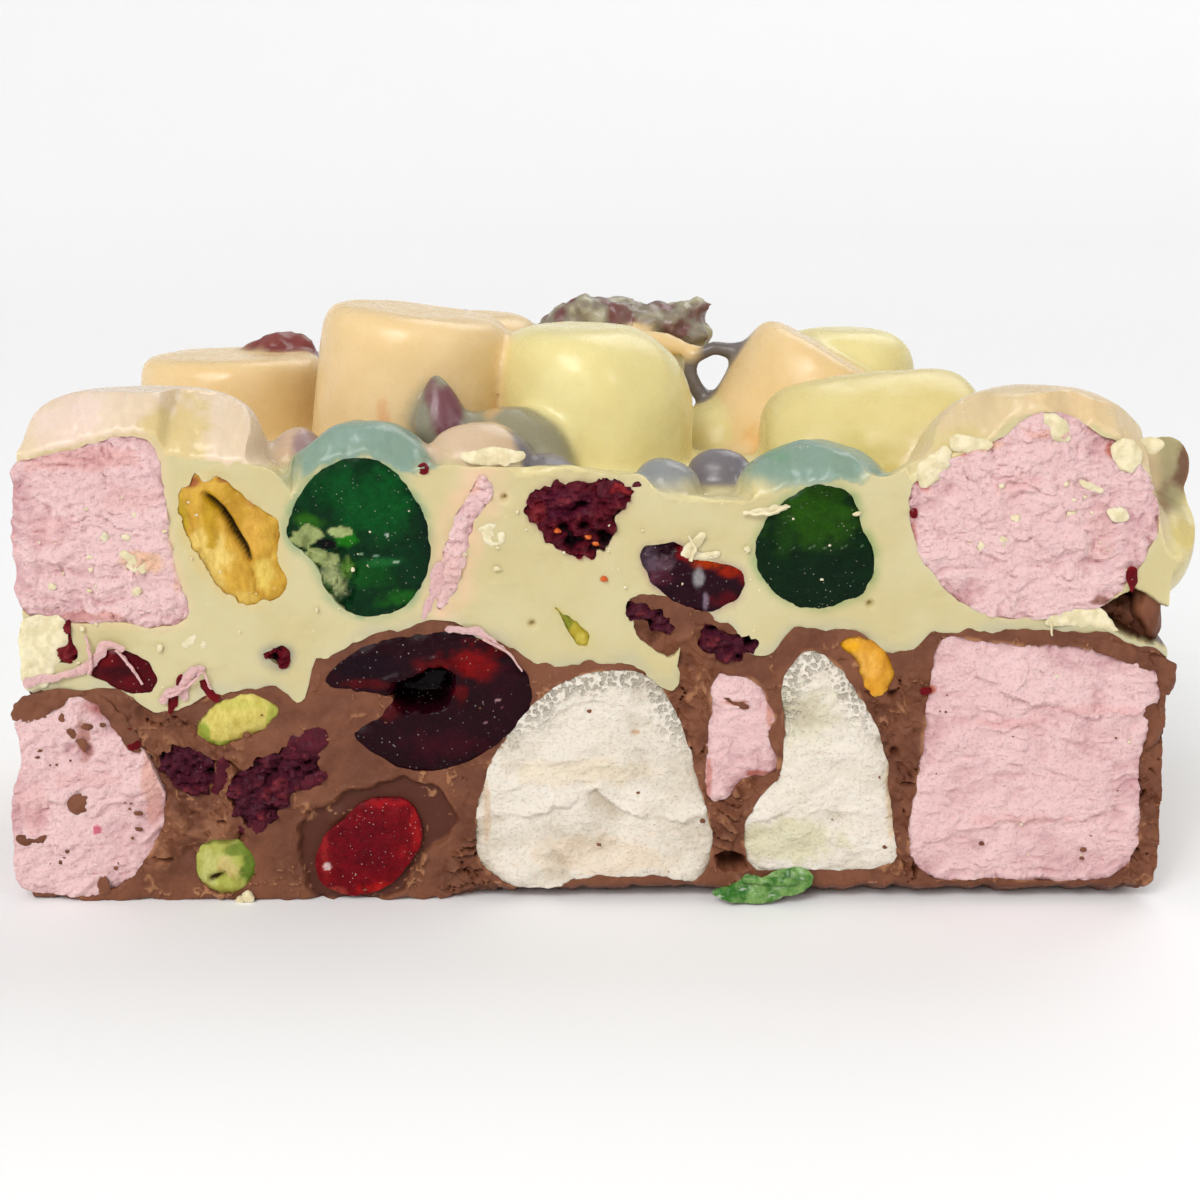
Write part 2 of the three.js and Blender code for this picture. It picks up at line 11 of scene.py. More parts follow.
import bpy
import numpy as np
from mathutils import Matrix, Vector


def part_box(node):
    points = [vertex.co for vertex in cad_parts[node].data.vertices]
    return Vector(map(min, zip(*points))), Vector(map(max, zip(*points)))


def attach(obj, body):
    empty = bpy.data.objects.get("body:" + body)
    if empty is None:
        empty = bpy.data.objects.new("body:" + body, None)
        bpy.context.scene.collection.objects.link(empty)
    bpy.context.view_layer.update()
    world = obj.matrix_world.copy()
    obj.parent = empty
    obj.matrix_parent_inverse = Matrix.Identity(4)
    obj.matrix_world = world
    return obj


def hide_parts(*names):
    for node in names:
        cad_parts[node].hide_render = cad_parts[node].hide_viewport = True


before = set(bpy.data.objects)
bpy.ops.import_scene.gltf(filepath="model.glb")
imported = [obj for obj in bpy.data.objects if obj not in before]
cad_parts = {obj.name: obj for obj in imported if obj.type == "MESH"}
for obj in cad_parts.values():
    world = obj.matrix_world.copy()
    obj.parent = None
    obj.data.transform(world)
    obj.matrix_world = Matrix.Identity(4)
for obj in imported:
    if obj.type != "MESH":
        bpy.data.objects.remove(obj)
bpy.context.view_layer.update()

# ------------------------------------------------------------------------------ sizes and places

MM = 0.001
SLAB_LEFT = -71.0  # the slab's left end at its base, in slice coordinates
MILK = "milk_chocolate_layer"
WHITE = "white_chocolate_layer"

low, high = (np.array(corner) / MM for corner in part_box(MILK))
DEPTH = high[1] - low[1]
SHIFT = np.array([low[0] - SLAB_LEFT, low[1], 0.0])  # from slice coordinates to the frame's


def to_frame(points):
    return (np.asarray(points, float) + SHIFT) * MM


def from_frame(points):
    return np.asarray(points, float) / MM - SHIFT


# ------------------------------------------------------------------------------------------ noise


def lattice(ix, iy, iz, seed):
    """A repeatable random number from -1 to 1 for every whole-numbered point."""
    h = ix.astype(np.uint32) * np.uint32(374761393)
    h += iy.astype(np.uint32) * np.uint32(668265263)
    h += iz.astype(np.uint32) * np.uint32(2246822519)
    h += np.uint32(seed * 1013904223 % 2**32)
    h = (h ^ (h >> np.uint32(13))) * np.uint32(1274126177)
    h = (h ^ (h >> np.uint32(15))) * np.uint32(2654435761)
    h ^= h >> np.uint32(16)
    return h.astype(np.float32) / np.float32(2**31) - 1.0


def noise(x, y, z=0.0, seed=0):
    """Smooth value noise with a wavelength of about 2 in the units that it is given."""
    p = [np.asarray(a, np.float32) for a in np.broadcast_arrays(x, y, z)]
    whole = [np.floor(a) for a in p]
    part = [a - w for a, w in zip(p, whole)]
    smooth = [f * f * f * (f * (f * 6 - 15) + 10) for f in part]
    cell = [w.astype(np.int64) for w in whole]
    flat = p[2].ndim == 0 or not np.any(p[2])
    total = np.zeros(p[0].shape, np.float32)
    for dx in (0, 1):
        wx = smooth[0] if dx else 1 - smooth[0]
        for dy in (0, 1):
            wy = smooth[1] if dy else 1 - smooth[1]
            for dz in (0,) if flat else (0, 1):
                wz = 1.0 if flat else (smooth[2] if dz else 1 - smooth[2])
                total += wx * wy * wz * lattice(cell[0] + dx, cell[1] + dy, cell[2] + dz, seed)
    return total


def fractal(x, y, z=0.0, seed=0, octaves=4, gain=0.5):
    total, size = 0.0, 1.0
    for k in range(octaves):
        grow = 2.03**k
        total = total + size * noise(x * grow + 7.1 * k, y * grow - 3.7 * k, z * grow, seed + k)
        size *= gain
    return total


def smoothstep(low_edge, high_edge, value):
    t = np.clip((value - low_edge) / (high_edge - low_edge), 0, 1)
    return t * t * (3 - 2 * t)


# ----------------------------------------------------------------------------------------- meshes


def make_mesh(name, points, faces):
    """A mesh piece from slice coordinates. faces is an array of quads or triangles, or a list."""
    mesh = bpy.data.meshes.new(name)
    mesh.from_pydata(to_frame(points).tolist(), [], faces if isinstance(faces, list) else faces.tolist())
    mesh.validate(clean_customdata=False)
    piece = bpy.data.objects.new(name, mesh)
    bpy.context.scene.collection.objects.link(piece)
    mesh.shade_smooth()
    return piece


def store(mesh, key, values):
    layer = mesh.attributes.new(key, "FLOAT", "POINT")
    layer.data.foreach_set("value", np.asarray(values, np.float32))


def linear(red, green, blue):
    """A colour given in screen values 0 to 255, as Blender's linear numbers."""
    values = [((c / 255 + 0.055) / 1.055) ** 2.4 if c > 10 else c / 255 / 12.92 for c in (red, green, blue)]
    return (*values, 1.0)


def store_colour(mesh, key, values):
    layer = mesh.color_attributes.new(key, "FLOAT_COLOR", "POINT")
    whole = np.ones((len(values), 4), np.float32)
    whole[:, :3] = np.asarray(values)[:, :3]
    layer.data.foreach_set("color", whole.ravel())


def blend_tint(colour, other, weight):
    return colour * (1 - weight[:, None]) + np.array(other[:3]) * weight[:, None]


def mesh_points(mesh, field="co"):
    """The places of a mesh's points, or with "normal" the directions that they face."""
    flat = np.empty(len(mesh.vertices) * 3, np.float32)
    mesh.vertices.foreach_get(field, flat)
    return flat.reshape(-1, 3)


def settle(piece):
    """Replaces a piece's mesh by what its modifiers make of it."""
    settled = bpy.data.meshes.new_from_object(piece.evaluated_get(bpy.context.evaluated_depsgraph_get()))
    piece.modifiers.clear()
    piece.data = settled


def boolean(target, other, operation):
    """Cuts, keeps or adds to the target by the other solid."""
    modifier = target.modifiers.new("cut", "BOOLEAN")
    modifier.operation = operation
    modifier.solver = "MANIFOLD"
    modifier.object = other
    settle(target)


def remove(piece):
    bpy.data.objects.remove(piece)


def copy_of(piece, name):
    twin = bpy.data.objects.new(name, piece.data.copy())
    bpy.context.scene.collection.objects.link(twin)
    return twin


def joined(meshes):
    """Points and faces of several (points, faces) pairs as one pair."""
    points, faces, start = [], [], 0
    for part_points, part_faces in meshes:
        points.append(part_points)
        faces += [[i + start for i in face] for face in part_faces]
        start += len(part_points)
    return np.concatenate(points), faces


def closed_loops(following):
    """The closed loops in a table of the point that follows each point."""
    loops = []
    while following:
        start, at = following.popitem()
        loop = [start]
        while at != start:
            loop.append(at)
            at = following.pop(at)
        loops.append(loop)
    return loops


def boundary_loop(quads):
    """The longest loop of edges that only one face uses, in the faces' own direction."""
    edges = np.concatenate([quads[:, [k, (k + 1) % 4]] for k in range(4)])
    keys = np.sort(edges, axis=1)
    order = keys[:, 0].astype(np.int64) * (quads.max() + 1) + keys[:, 1]
    _, inverse, counts = np.unique(order, return_inverse=True, return_counts=True)
    return max(closed_loops(dict(edges[counts[inverse] == 1].tolist())), key=len)


def band(count):
    """Quads between a ring of points and the next ring."""
    return [[(i + 1) % count, i, count + i, count + (i + 1) % count] for i in range(count)]


def closed_block(name, surface, end):
    """A solid from a grid of points and the four corners of its far side."""
    nu, nv = surface.shape[:2]
    index = np.arange(nu * nv).reshape(nu, nv)
    quads = np.stack([index[:-1, :-1], index[1:, :-1], index[1:, 1:], index[:-1, 1:]], axis=-1)
    a, b, c, d = range(nu * nv, nu * nv + 4)
    sides = ((index[::-1, 0], a, b), (index[-1, ::-1], b, c), (index[:, -1], c, d), (index[0], d, a))
    faces = [*quads.reshape(-1, 4).tolist(), [a, d, c, b]]
    faces += [[*side.tolist(), first, second] for side, first, second in sides]
    return make_mesh(name, np.concatenate([surface.reshape(-1, 3), end]), faces)


def one_region(inside):
    """The field with only its deepest region left above 0, and no corners that touch by a point."""
    above = inside > 0
    held = np.zeros(above.shape, bool)
    held[np.unravel_index(inside.argmax(), inside.shape)] = True
    size = 0
    while held.sum() != size:
        size = held.sum()
        for axis in (0, 1):
            for turn in (1, -1):
                held |= np.roll(held, turn, axis) & above
    for _ in range(3):
        a, b, c, d = held[:-1, :-1], held[1:, :-1], held[1:, 1:], held[:-1, 1:]
        held[1:, :-1] |= a & c & ~b & ~d
        held[:-1, :-1] |= b & d & ~a & ~c
    return np.where(held, np.maximum(inside, 1e-3), np.minimum(inside, -1e-3))


def flat_nets(inside, xs, zs):
    """Quads over the region where inside is above 0, with their outer points on its edge."""
    inside = one_region(inside)
    above = inside > 0
    corners = [(0, 0), (1, 0), (1, 1), (0, 1)]
    nx, nz = inside.shape
    value = [inside[a : nx - 1 + a, b : nz - 1 + b] for a, b in corners]
    full = sum(v > 0 for v in value)
    sum_x = np.zeros(full.shape)
    sum_z = np.zeros(full.shape)
    hits = np.zeros(full.shape)
    for k in range(4):
        (ax, az), (bx, bz) = corners[k], corners[(k + 1) % 4]
        va, vb = value[k], value[(k + 1) % 4]
        crossing = (va > 0) != (vb > 0)
        t = np.where(crossing, va / np.where(crossing, va - vb, 1), 0)
        sum_x += np.where(crossing, ax + (bx - ax) * t, 0)
        sum_z += np.where(crossing, az + (bz - az) * t, 0)
        hits += crossing
    mid_x = np.where(hits > 0, sum_x / np.maximum(hits, 1), 0.5)
    mid_z = np.where(hits > 0, sum_z / np.maximum(hits, 1), 0.5)
    used = full > 0
    number = np.cumsum(used.ravel()).reshape(used.shape) - 1
    step_x, step_z = xs[1] - xs[0], zs[1] - zs[0]
    px = xs[:-1, None] + mid_x * step_x
    pz = zs[None, :-1] + mid_z * step_z
    points = np.stack([px[used], pz[used]], axis=1)
    node = np.argwhere(above[1:-1, 1:-1]) + 1
    i, j = node[:, 0], node[:, 1]
    quads = np.stack([number[i - 1, j - 1], number[i, j - 1], number[i, j], number[i - 1, j]], axis=1)
    return points, quads


def surface_nets(field, origin, step):
    """The surface where a sampled field changes sign, below 0 inside, as points and quads."""
    shape = np.array(field.shape) - 1
    inside = field < 0
    total = np.zeros((*shape, 3), np.float32)
    hits = np.zeros(shape, np.float32)
    corner = [(a, b, c) for a in (0, 1) for b in (0, 1) for c in (0, 1)]

    def at(values, c):
        return values[c[0] : shape[0] + c[0], c[1] : shape[1] + c[1], c[2] : shape[2] + c[2]]

    for first in corner:
        for axis in range(3):
            if first[axis]:
                continue
            second = tuple(v + (k == axis) for k, v in enumerate(first))
            fa, fb = at(field, first), at(field, second)
            crossing = at(inside, first) != at(inside, second)
            t = np.where(crossing, fa / np.where(crossing, fa - fb, 1), 0)
            for k in range(3):
                total[..., k] += np.where(crossing, first[k] + (t if k == axis else 0), 0)
            hits += crossing
    used = hits > 0
    number = np.cumsum(used.ravel()).reshape(used.shape) - 1
    cell = np.argwhere(used)
    points = origin + step * (cell + total[used] / hits[used][:, None])
    quads = []
    for axis in range(3):
        u, v = (axis + 1) % 3, (axis + 2) % 3
        ahead = [slice(None)] * 3
        behind = [slice(None)] * 3
        ahead[axis], behind[axis] = slice(1, None), slice(None, -1)
        change = inside[tuple(behind)].astype(np.int8) - inside[tuple(ahead)].astype(np.int8)
        for sign in (1, -1):
            e = np.argwhere(change == sign)
            e = e[(e[:, u] > 0) & (e[:, v] > 0) & (e[:, u] < shape[u]) & (e[:, v] < shape[v])]
            ring = []
            for du, dv in ((-1, -1), (0, -1), (0, 0), (-1, 0)):
                c = e.copy()
                c[:, u] += du
                c[:, v] += dv
                ring.append(number[c[:, 0], c[:, 1], c[:, 2]])
            ring = np.stack(ring, axis=1)
            quads.append(ring if sign == 1 else ring[:, ::-1])
    return points, np.concatenate(quads)


# ------------------------------------------------------------------------------------ the two layers

# These repeat the slab's own shape: what the solids show in facets is drawn round here.
RIGHT_BASE, RIGHT_TOP, LEFT_TOP = 69.6, 67.4, -68.2  # the ends, which lean, at the base and at BLANK_TOP
BLANK_TOP, MOULD_CORNER = 90.0, 5.0
WHITE_BACK, MILK_BACK = 51.0, 28.0  # the layers' tops away from the front
FRONT_BLEND = 14.0  # how far in the shape of the cut front's edges reaches

# Height of the milk layer along the cut front, and of the white layer between its lumps: x, z.
MILK_EDGE = np.array([
    (-72, 27.5), (-60, 27.5), (-53, 24.5), (-46, 27), (-40, 27.5), (-36.5, 26), (-34, 31.5),
    (-26, 34.5), (-19.5, 36.5), (-13, 33.5), (-6, 30.5), (3, 31), (8.5, 28), (11, 38), (15, 35.5),
    (19.5, 31.5), (24, 35), (30, 35), (36, 32), (42, 34.8), (60, 34.8), (66, 33), (71, 31),
])  # fmt: skip
WHITE_EDGE = np.array([
    (-72, 55), (-67, 57), (-53, 59.5), (-50.5, 56), (-40, 55), (-37, 53.5), (-29, 56.7), (-21, 54.8),
    (-4, 54.6), (4, 54), (8, 51.5), (13, 50.5), (19, 50.6), (27, 53), (33, 53.8), (38, 55.5),
    (47, 59), (53, 63), (60, 60.5), (66, 55), (70, 51),
])  # fmt: skip

# Low swells of the white layer: x, y, half width, half depth, top, squareness.
SWELLS = [
    (-28.5, 4.5, 10, 9.5, 59.5, 2), (26, 5.5, 9.5, 9, 57, 2), (-14.5, 6.5, 7.6, 6, 59.3, 2.2),
    (-12, 15, 9.5, 6, 60, 2), (-37.5, 11, 4.6, 5.5, 58, 2), (-6.5, 5.5, 4.4, 4, 55.6, 2),
    (8, 5, 4.4, 4.6, 55.5, 2), (-58, 27, 8, 7, 56.5, 2), (57, 42, 10, 11, 57.5, 2.6),
    (60, 62, 6, 6, 55, 2), (-62, 64, 7, 6, 55, 2), (-36, 63, 7, 6, 56.5, 2), (-3, 44, 8, 5, 55, 2),
]  # fmt: skip

# Coated lumps: centre, half sizes, lean in degrees, squareness, tint of the coat.
LUMPS = {
    "tall_middle": ((-0.6, 28, 55.8), (12.9, 13.2, 13.2), 0, (5.2, 2.4), "yellow"),
    "tall_left": ((-25.4, 29, 56.8), (12.5, 13, 14.3), 7, 8, "peach"),
    "back_left": ((-51.6, 46, 51), (12.8, 12.6, 12.4), 0, 9, "peach"),
    "right_lying": ((36, 25, 51), (12, 12.2, 14.5), 84, 4.5, "straw"),
    "back_right": ((26.6, 45, 51.4), (12.2, 11.6, 13.6), 30, 8, "peach"),
    "far_right": ((35.6, 59.4, 54.4), (10.8, 9.6, 11.2), 0, 3.6, "yellow"),
    "back_middle": ((-19.5, 55, 56.2), (11.3, 11, 12), 0, 5, "peach"),
    "back_centre": ((3.4, 57, 52), (10.2, 11, 12.6), 0, 4, "yellow"),
    "cluster_a": ((-5.8, 58, 65.4), (3, 3.4, 2.6), 0, 2, "cluster"),
    "cluster_b": ((-2, 58, 67), (4, 3.8, 3.3), 0, 2, "cluster"),
    "cluster_c": ((2.4, 58, 67), (3.8, 4, 3.3), 0, 2, "cluster"),
    "cluster_d": ((7, 57.5, 66.3), (4.4, 4.2, 3.1), 0, 2, "cluster"),
    "cluster_e": ((11.5, 58, 66.6), (3.8, 4, 3.4), 0, 2, "cluster"),
    "cluster_horn": ((14, 58, 68.9), (1.5, 1.7, 1.5), 20, 1.4, "cluster"),
    "cluster_low": ((13.4, 57, 64.8), (2.6, 3, 1.8), 0, 2, "cluster"),
    "saddle": ((15.8, 44, 51.2), (5.8, 7, 5.4), 0, 2.2, "yellow"),
    "berry_left": ((-45.6, 52, 62.4), (5.2, 4, 3.7), 0, 1.5, "red"),
    "berry_behind": ((-18.6, 46, 67.4), (3.4, 2.4, 1.6), 24, 2, "berry"),
    "pointed": ((-19.9, 14, 57.8), (3.6, 3.2, 6.6), -6, 1.35, "husk"),
    "berry_right": ((15, 12.5, 52.3), (4, 3.2, 2.8), 0, 2, "purple"),
    "berry_edge": ((69.4, 7, 53.4), (3, 4.2, 4), 0, 2, "shell"),
    "hump_left": ((-55.2, 6, 50.6), (14.6, 13, 12.6), 0, 4, "pale"),
    "hump_right": ((52.6, 6, 49.2), (15.4, 13, 14.6), 0, 2.4, "cream"),
}

# Threads and films of coat between the lumps: points x, y, z with a radius, and their tint.
STRANDS = [
    ([(12.6, 46, 60.6, 0.9), (13, 46, 62.8, 1.0), (16, 46, 64.2, 0.9), (19.4, 46, 63.6, 1.1),
      (19.4, 46, 60.8, 1.0), (18, 46, 58.2, 1.1), (15.9, 46, 56.2, 1.3), (13.8, 46, 58, 1.1),
      (12.6, 46, 60.6, 0.9)], "slate"),
    ([(5, 53, 64.4, 1.8), (9.5, 50, 64.3, 1.5), (12.8, 46.4, 63.6, 0.9)], "peach"),
    ([(19.6, 46, 63.2, 1.1), (22.5, 45.5, 64.6, 1.3)], "slate"),
]  # fmt: skip
CRAGGY = ("cluster", "berry", "red")  # tints of the lumps with a wrinkled surface
WHITE_RUN = ((68.6, 8, 45.5), (4.3, 8.5, 8), 0, 2, "cream")  # runs down the moulded end, as a lump


def profile(points, x):
    """Smooth interpolation through points sorted by x."""
    xs, zs = points[:, 0], points[:, 1]
    i = np.clip(np.searchsorted(xs, x) - 1, 0, len(xs) - 2)
    t = np.clip((x - xs[i]) / (xs[i + 1] - xs[i]), 0, 1)
    return zs[i] + (zs[i + 1] - zs[i]) * t**3 * (t * (6 * t - 15) + 10)


def milk_top(x, y):
    back = MILK_BACK + 2.2 * np.sin(x / 13 + 1) + 1.2 * np.sin(x / 5.5 + y / 9)
    blend = smoothstep(2, FRONT_BLEND, y)
    return profile(MILK_EDGE, x) * (1 - blend) + back * blend


def white_top(x, y):
    back = WHITE_BACK + 0.8 * np.sin(x / 7 + y / 5)
    blend = smoothstep(0, FRONT_BLEND, y)
    height = profile(WHITE_EDGE, x) * (1 - blend) + back * blend
    for x0, y0, rx, ry, top, square in SWELLS:
        reach = np.abs((x - x0) / rx) ** square + np.abs((y - y0) / ry) ** square
        swell = WHITE_BACK + (top - WHITE_BACK) * np.clip(1 - reach, 0, 1) ** (1 / square)
        height = np.maximum(height, swell)
    return height


def lump_distance(lump, x, y, z):
    """Roughly how far a point is outside a rounded drum, in millimetres."""
    centre, size, lean, square, _ = lump
    turn = math.radians(lean)
    dx, dy, dz = x - centre[0], y - centre[1], z - centre[2]
    across = dx * math.cos(turn) - dz * math.sin(turn)
    along = dx * math.sin(turn) + dz * math.cos(turn)
    flat = np.hypot(across / size[0], dy / size[1])
    if isinstance(square, tuple):
        square = square[0] + (square[1] - square[0]) * smoothstep(-0.6, 0.6, across / size[0])
    reach = (flat**square + np.abs(along / size[2]) ** square) ** (1 / square) + 1e-6
    return np.sqrt(across**2 + dy**2 + along**2) * (1 - 1 / reach)


def strand_distance(line, x, y, z):
    """How far a point is outside a bent rod that runs through points with a radius each."""
    nearest = 1e9
    for (ax, ay, az, ra), (bx, by, bz, rb) in zip(line[:-1], line[1:]):
        dx, dy, dz = bx - ax, by - ay, bz - az
        t = ((x - ax) * dx + (y - ay) * dy + (z - az) * dz) / (dx * dx + dy * dy + dz * dz)
        t = np.clip(t, 0, 1)
        away = np.sqrt((x - ax - t * dx) ** 2 + (y - ay - t * dy) ** 2 + (z - az - t * dz) ** 2)
        nearest = np.minimum(nearest, away - ra - (rb - ra) * t)
    return nearest


def blend_in(field, other, radius):
    """The smooth union of two distance fields."""
    mix = np.clip(0.5 + 0.5 * (field - other) / radius, 0, 1)
    return field * (1 - mix) + other * mix - radius * mix * (1 - mix)


def mould_distance(x, z):
    """Distance outside the moulded right end and the flat base, with a round corner between them."""
    end = x - (RIGHT_BASE + (RIGHT_TOP - RIGHT_BASE) * z / BLANK_TOP)
    beside, below = end + MOULD_CORNER, MOULD_CORNER - z
    corner = np.hypot(np.maximum(beside, 0), np.maximum(below, 0)) - MOULD_CORNER
    return corner + np.minimum(np.maximum(beside, below), 0)


ENVELOPE_STEP = 0.6
ENVELOPE_LOW = np.array([-75.0, -3.0, -1.5])
ENVELOPE_HIGH = np.array([75.0, 73.0, 74.5])
FAR_AWAY = 30  # a distance that no lump reaches
LUMP_ROOM = 6  # how far round a lump its distance is worked out
STRAND_ROOM = 4
SURFACE_BLEND = 2.2  # how softly the coat of a lump runs into its surroundings
LUMP_BLEND = 1.5
STRAND_BLEND = 1.1
RUN_BLEND = 1.0
COAT_WAVE = 0.10  # unevenness of the coat
WAVE_ROOM = 2.5  # the layer round the surface that is made uneven
CRAG_DEPTH = 0.75  # relief of the berries that show through it
CRAG_ROOM = 3


def grid_part(axes, corner, far_corner):
    """The part of the field between two corners, as slices and as its x, y and z."""
    start = np.maximum(((corner - ENVELOPE_LOW) / ENVELOPE_STEP).astype(int), 0)
    stop = ((far_corner - ENVELOPE_LOW) / ENVELOPE_STEP).astype(int) + 1
    part = tuple(slice(a, b) for a, b in zip(start, stop))
    return part, np.meshgrid(*(axis[s] for axis, s in zip(axes, part)), indexing="ij", sparse=True)


def envelope_field():
    """The whole slab with its coated top, before the cuts: below 0 inside."""
    count = ((ENVELOPE_HIGH - ENVELOPE_LOW) / ENVELOPE_STEP).astype(int) + 1
    xs, ys, zs = (low + ENVELOPE_STEP * np.arange(n) for low, n in zip(ENVELOPE_LOW, count))
    x, y = np.meshgrid(xs, ys, indexing="ij")
    height = white_top(x, np.maximum(y, 0)) + 0.35 * fractal(x / 5, y / 5, seed=11, octaves=3)
    slope = np.hypot(*np.gradient(height, ENVELOPE_STEP))
    lean = 1 / np.sqrt(1 + np.minimum(slope, 3) ** 2)
    field = ((zs[None, None, :] - height[..., None]) * lean[..., None]).astype(np.float32)
    lumps = np.full(field.shape, FAR_AWAY, np.float32)
    for lump in [*LUMPS.values(), WHITE_RUN]:
        centre, room = np.array(lump[0]), max(lump[1]) + LUMP_ROOM
        part, grid = grid_part((xs, ys, zs), centre - room, centre + room)
        distance = lump_distance(lump, *grid)
        if lump[4] in CRAGGY:
            near = np.abs(distance) < CRAG_ROOM
            wrinkles = fractal(*(a[near] / 2.1 for a in np.broadcast_arrays(*grid)), seed=27, octaves=3)
            distance[near] += CRAG_DEPTH * wrinkles
        lumps[part] = blend_in(lumps[part], distance, LUMP_BLEND)
    field = blend_in(field, lumps, SURFACE_BLEND)
    for line, _ in STRANDS:
        places = np.array(line)[:, :3]
        part, grid = grid_part((xs, ys, zs), places.min(0) - STRAND_ROOM, places.max(0) + STRAND_ROOM)
        field[part] = blend_in(field[part], strand_distance(line, *grid).astype(np.float32), STRAND_BLEND)
    near = np.abs(field) < WAVE_ROOM
    i, j, k = np.nonzero(near)
    field[near] += COAT_WAVE * fractal(xs[i] / 4.5, ys[j] / 4.5, zs[k] / 4.5, seed=21, octaves=3)
    grid = np.meshgrid(xs, ys, zs, indexing="ij", sparse=True)
    mould = mould_distance(grid[0], grid[2]).astype(np.float32)
    run = np.minimum(lump_distance(WHITE_RUN, *grid), lump_distance(LUMPS["berry_edge"], *grid))
    field = blend_in(np.maximum(field, mould), run.astype(np.float32), RUN_BLEND)
    for axis in range(3):
        for border in (0, -1):
            np.moveaxis(field, axis, 0)[border] = 1.0
    return field


def envelope():
    points, quads = surface_nets(envelope_field(), ENVELOPE_LOW, ENVELOPE_STEP)
    return make_mesh("envelope", points, quads)


# --------------------------------------------------------------------------------- the cut faces


class Face:
    """A cut face: u runs to the right and v up for someone who looks at it, and depth goes in."""

    def __init__(self, corner, right, inward, span):
        self.corner, self.right, self.inward = (np.array(v, float) for v in (corner, right, inward))
        self.span = span

    def world(self, u, v, depth):
        u, v, depth = np.broadcast_arrays(u, v, depth)
        up = np.array([0, 0, 1.0])
        return self.corner + u[..., None] * self.right + v[..., None] * up + depth[..., None] * self.inward

    def local(self, points):
        away = points - self.corner
        return away @ self.right, points[..., 2], away @ self.inward


FRONT = Face((0, 0, 0), (1, 0, 0), (0, 1, 0), (-76, 76))
BACK = Face((0, DEPTH, 0), (-1, 0, 0), (0, -1, 0), (-76, 76))
LEFT = Face((SLAB_LEFT, 0, 0), (0, -1, 0), (1, 0, 0), (-74, 4))


def left_lean(v):
    return (LEFT_TOP - SLAB_LEFT) * v / BLANK_TOP


BLOCK_LOW, BLOCK_HIGH, BLOCK_DEEP = -4.0, 78.0, 200.0  # past the slab on every side


def relief_block(face, relief, step):
    """A block that starts at a cut face with its relief and goes on through the whole slab."""
    us = np.arange(face.span[0], face.span[1] + step, step)
    vs = np.arange(BLOCK_LOW, BLOCK_HIGH + step, step)
    u, v = np.meshgrid(us, vs, indexing="ij")
    end = face.world(us[[0, -1, -1, 0]], vs[[0, 0, -1, -1]], np.full(4, BLOCK_DEEP))
    return closed_block("block", face.world(u, v, relief(u, v)), end)


# ------------------------------------------------------------------------------------ outlines


def merged_points(name):
    """The node's corners without repeats, in slice coordinates, and its triangles."""
    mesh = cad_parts[name].data
    mesh.calc_loop_triangles()
    triangles = np.array([t.vertices for t in mesh.loop_triangles])
    points = from_frame(mesh_points(mesh))
    _, first, inverse = np.unique(points.round(3), axis=0, return_index=True, return_inverse=True)
    return points[first], inverse.ravel()[triangles]


def node_outline(name, face):
    """The outline of a node's cut cap as points u, v, and how deep the node goes in."""
    points, triangles = merged_points(name)
    u, v, depth = face.local(points)
    on_cap = depth < depth.min() + 0.02
    cap = triangles[on_cap[triangles].all(axis=1)]
    edges = np.concatenate([cap[:, [0, 1]], cap[:, [1, 2]], cap[:, [2, 0]]])
    known = {tuple(edge) for edge in edges.tolist()}
    loops = closed_loops({a: b for a, b in known if (b, a) not in known})
    loop = max(loops, key=lambda ring: np.ptp(u[ring]) * np.ptp(v[ring]))
    first = min(range(len(loop)), key=lambda i: (round(u[loop[i]], 2), round(v[loop[i]], 2)))
    loop = loop[first:] + loop[:first]
    return np.stack([u[loop], v[loop]], axis=1), depth.max() - depth.min()


def rounded_outline(corners, pitch=0.3):
    """A closed smooth curve through the corners, as points about one pitch apart."""
    before, after, beyond = np.roll(corners, 1, 0), np.roll(corners, -1, 0), np.roll(corners, -2, 0)
    pieces = []
    for p0, p1, p2, p3 in zip(before, corners, after, beyond):
        count = max(2, int(np.linalg.norm(p2 - p1) / pitch))
        t = (np.arange(count) / count)[:, None]
        bend = 2 * p0 - 5 * p1 + 4 * p2 - p3
        swing = -p0 + 3 * p1 - 3 * p2 + p3
        pieces.append(0.5 * (2 * p1 + (p2 - p0) * t + bend * t**2 + swing * t**3))
    return np.concatenate(pieces)


def grown_outline(outline, margin):
    """The outline moved outwards, for one that runs anticlockwise."""
    along = np.roll(outline, -1, 0) - np.roll(outline, 1, 0)
    along /= np.linalg.norm(along, axis=1)[:, None]
    return outline + np.stack([along[:, 1], -along[:, 0]], axis=1) * np.reshape(margin, (-1, 1))


def ragged_outline(outline, amount, scale, seed):
    u, v = outline.T
    return grown_outline(outline, amount * fractal(u / scale, v / scale, seed=seed, octaves=3))


def anticlockwise(outline):
    u, v = outline.T
    return outline if (u * np.roll(v, -1) - v * np.roll(u, -1)).sum() > 0 else outline[::-1]


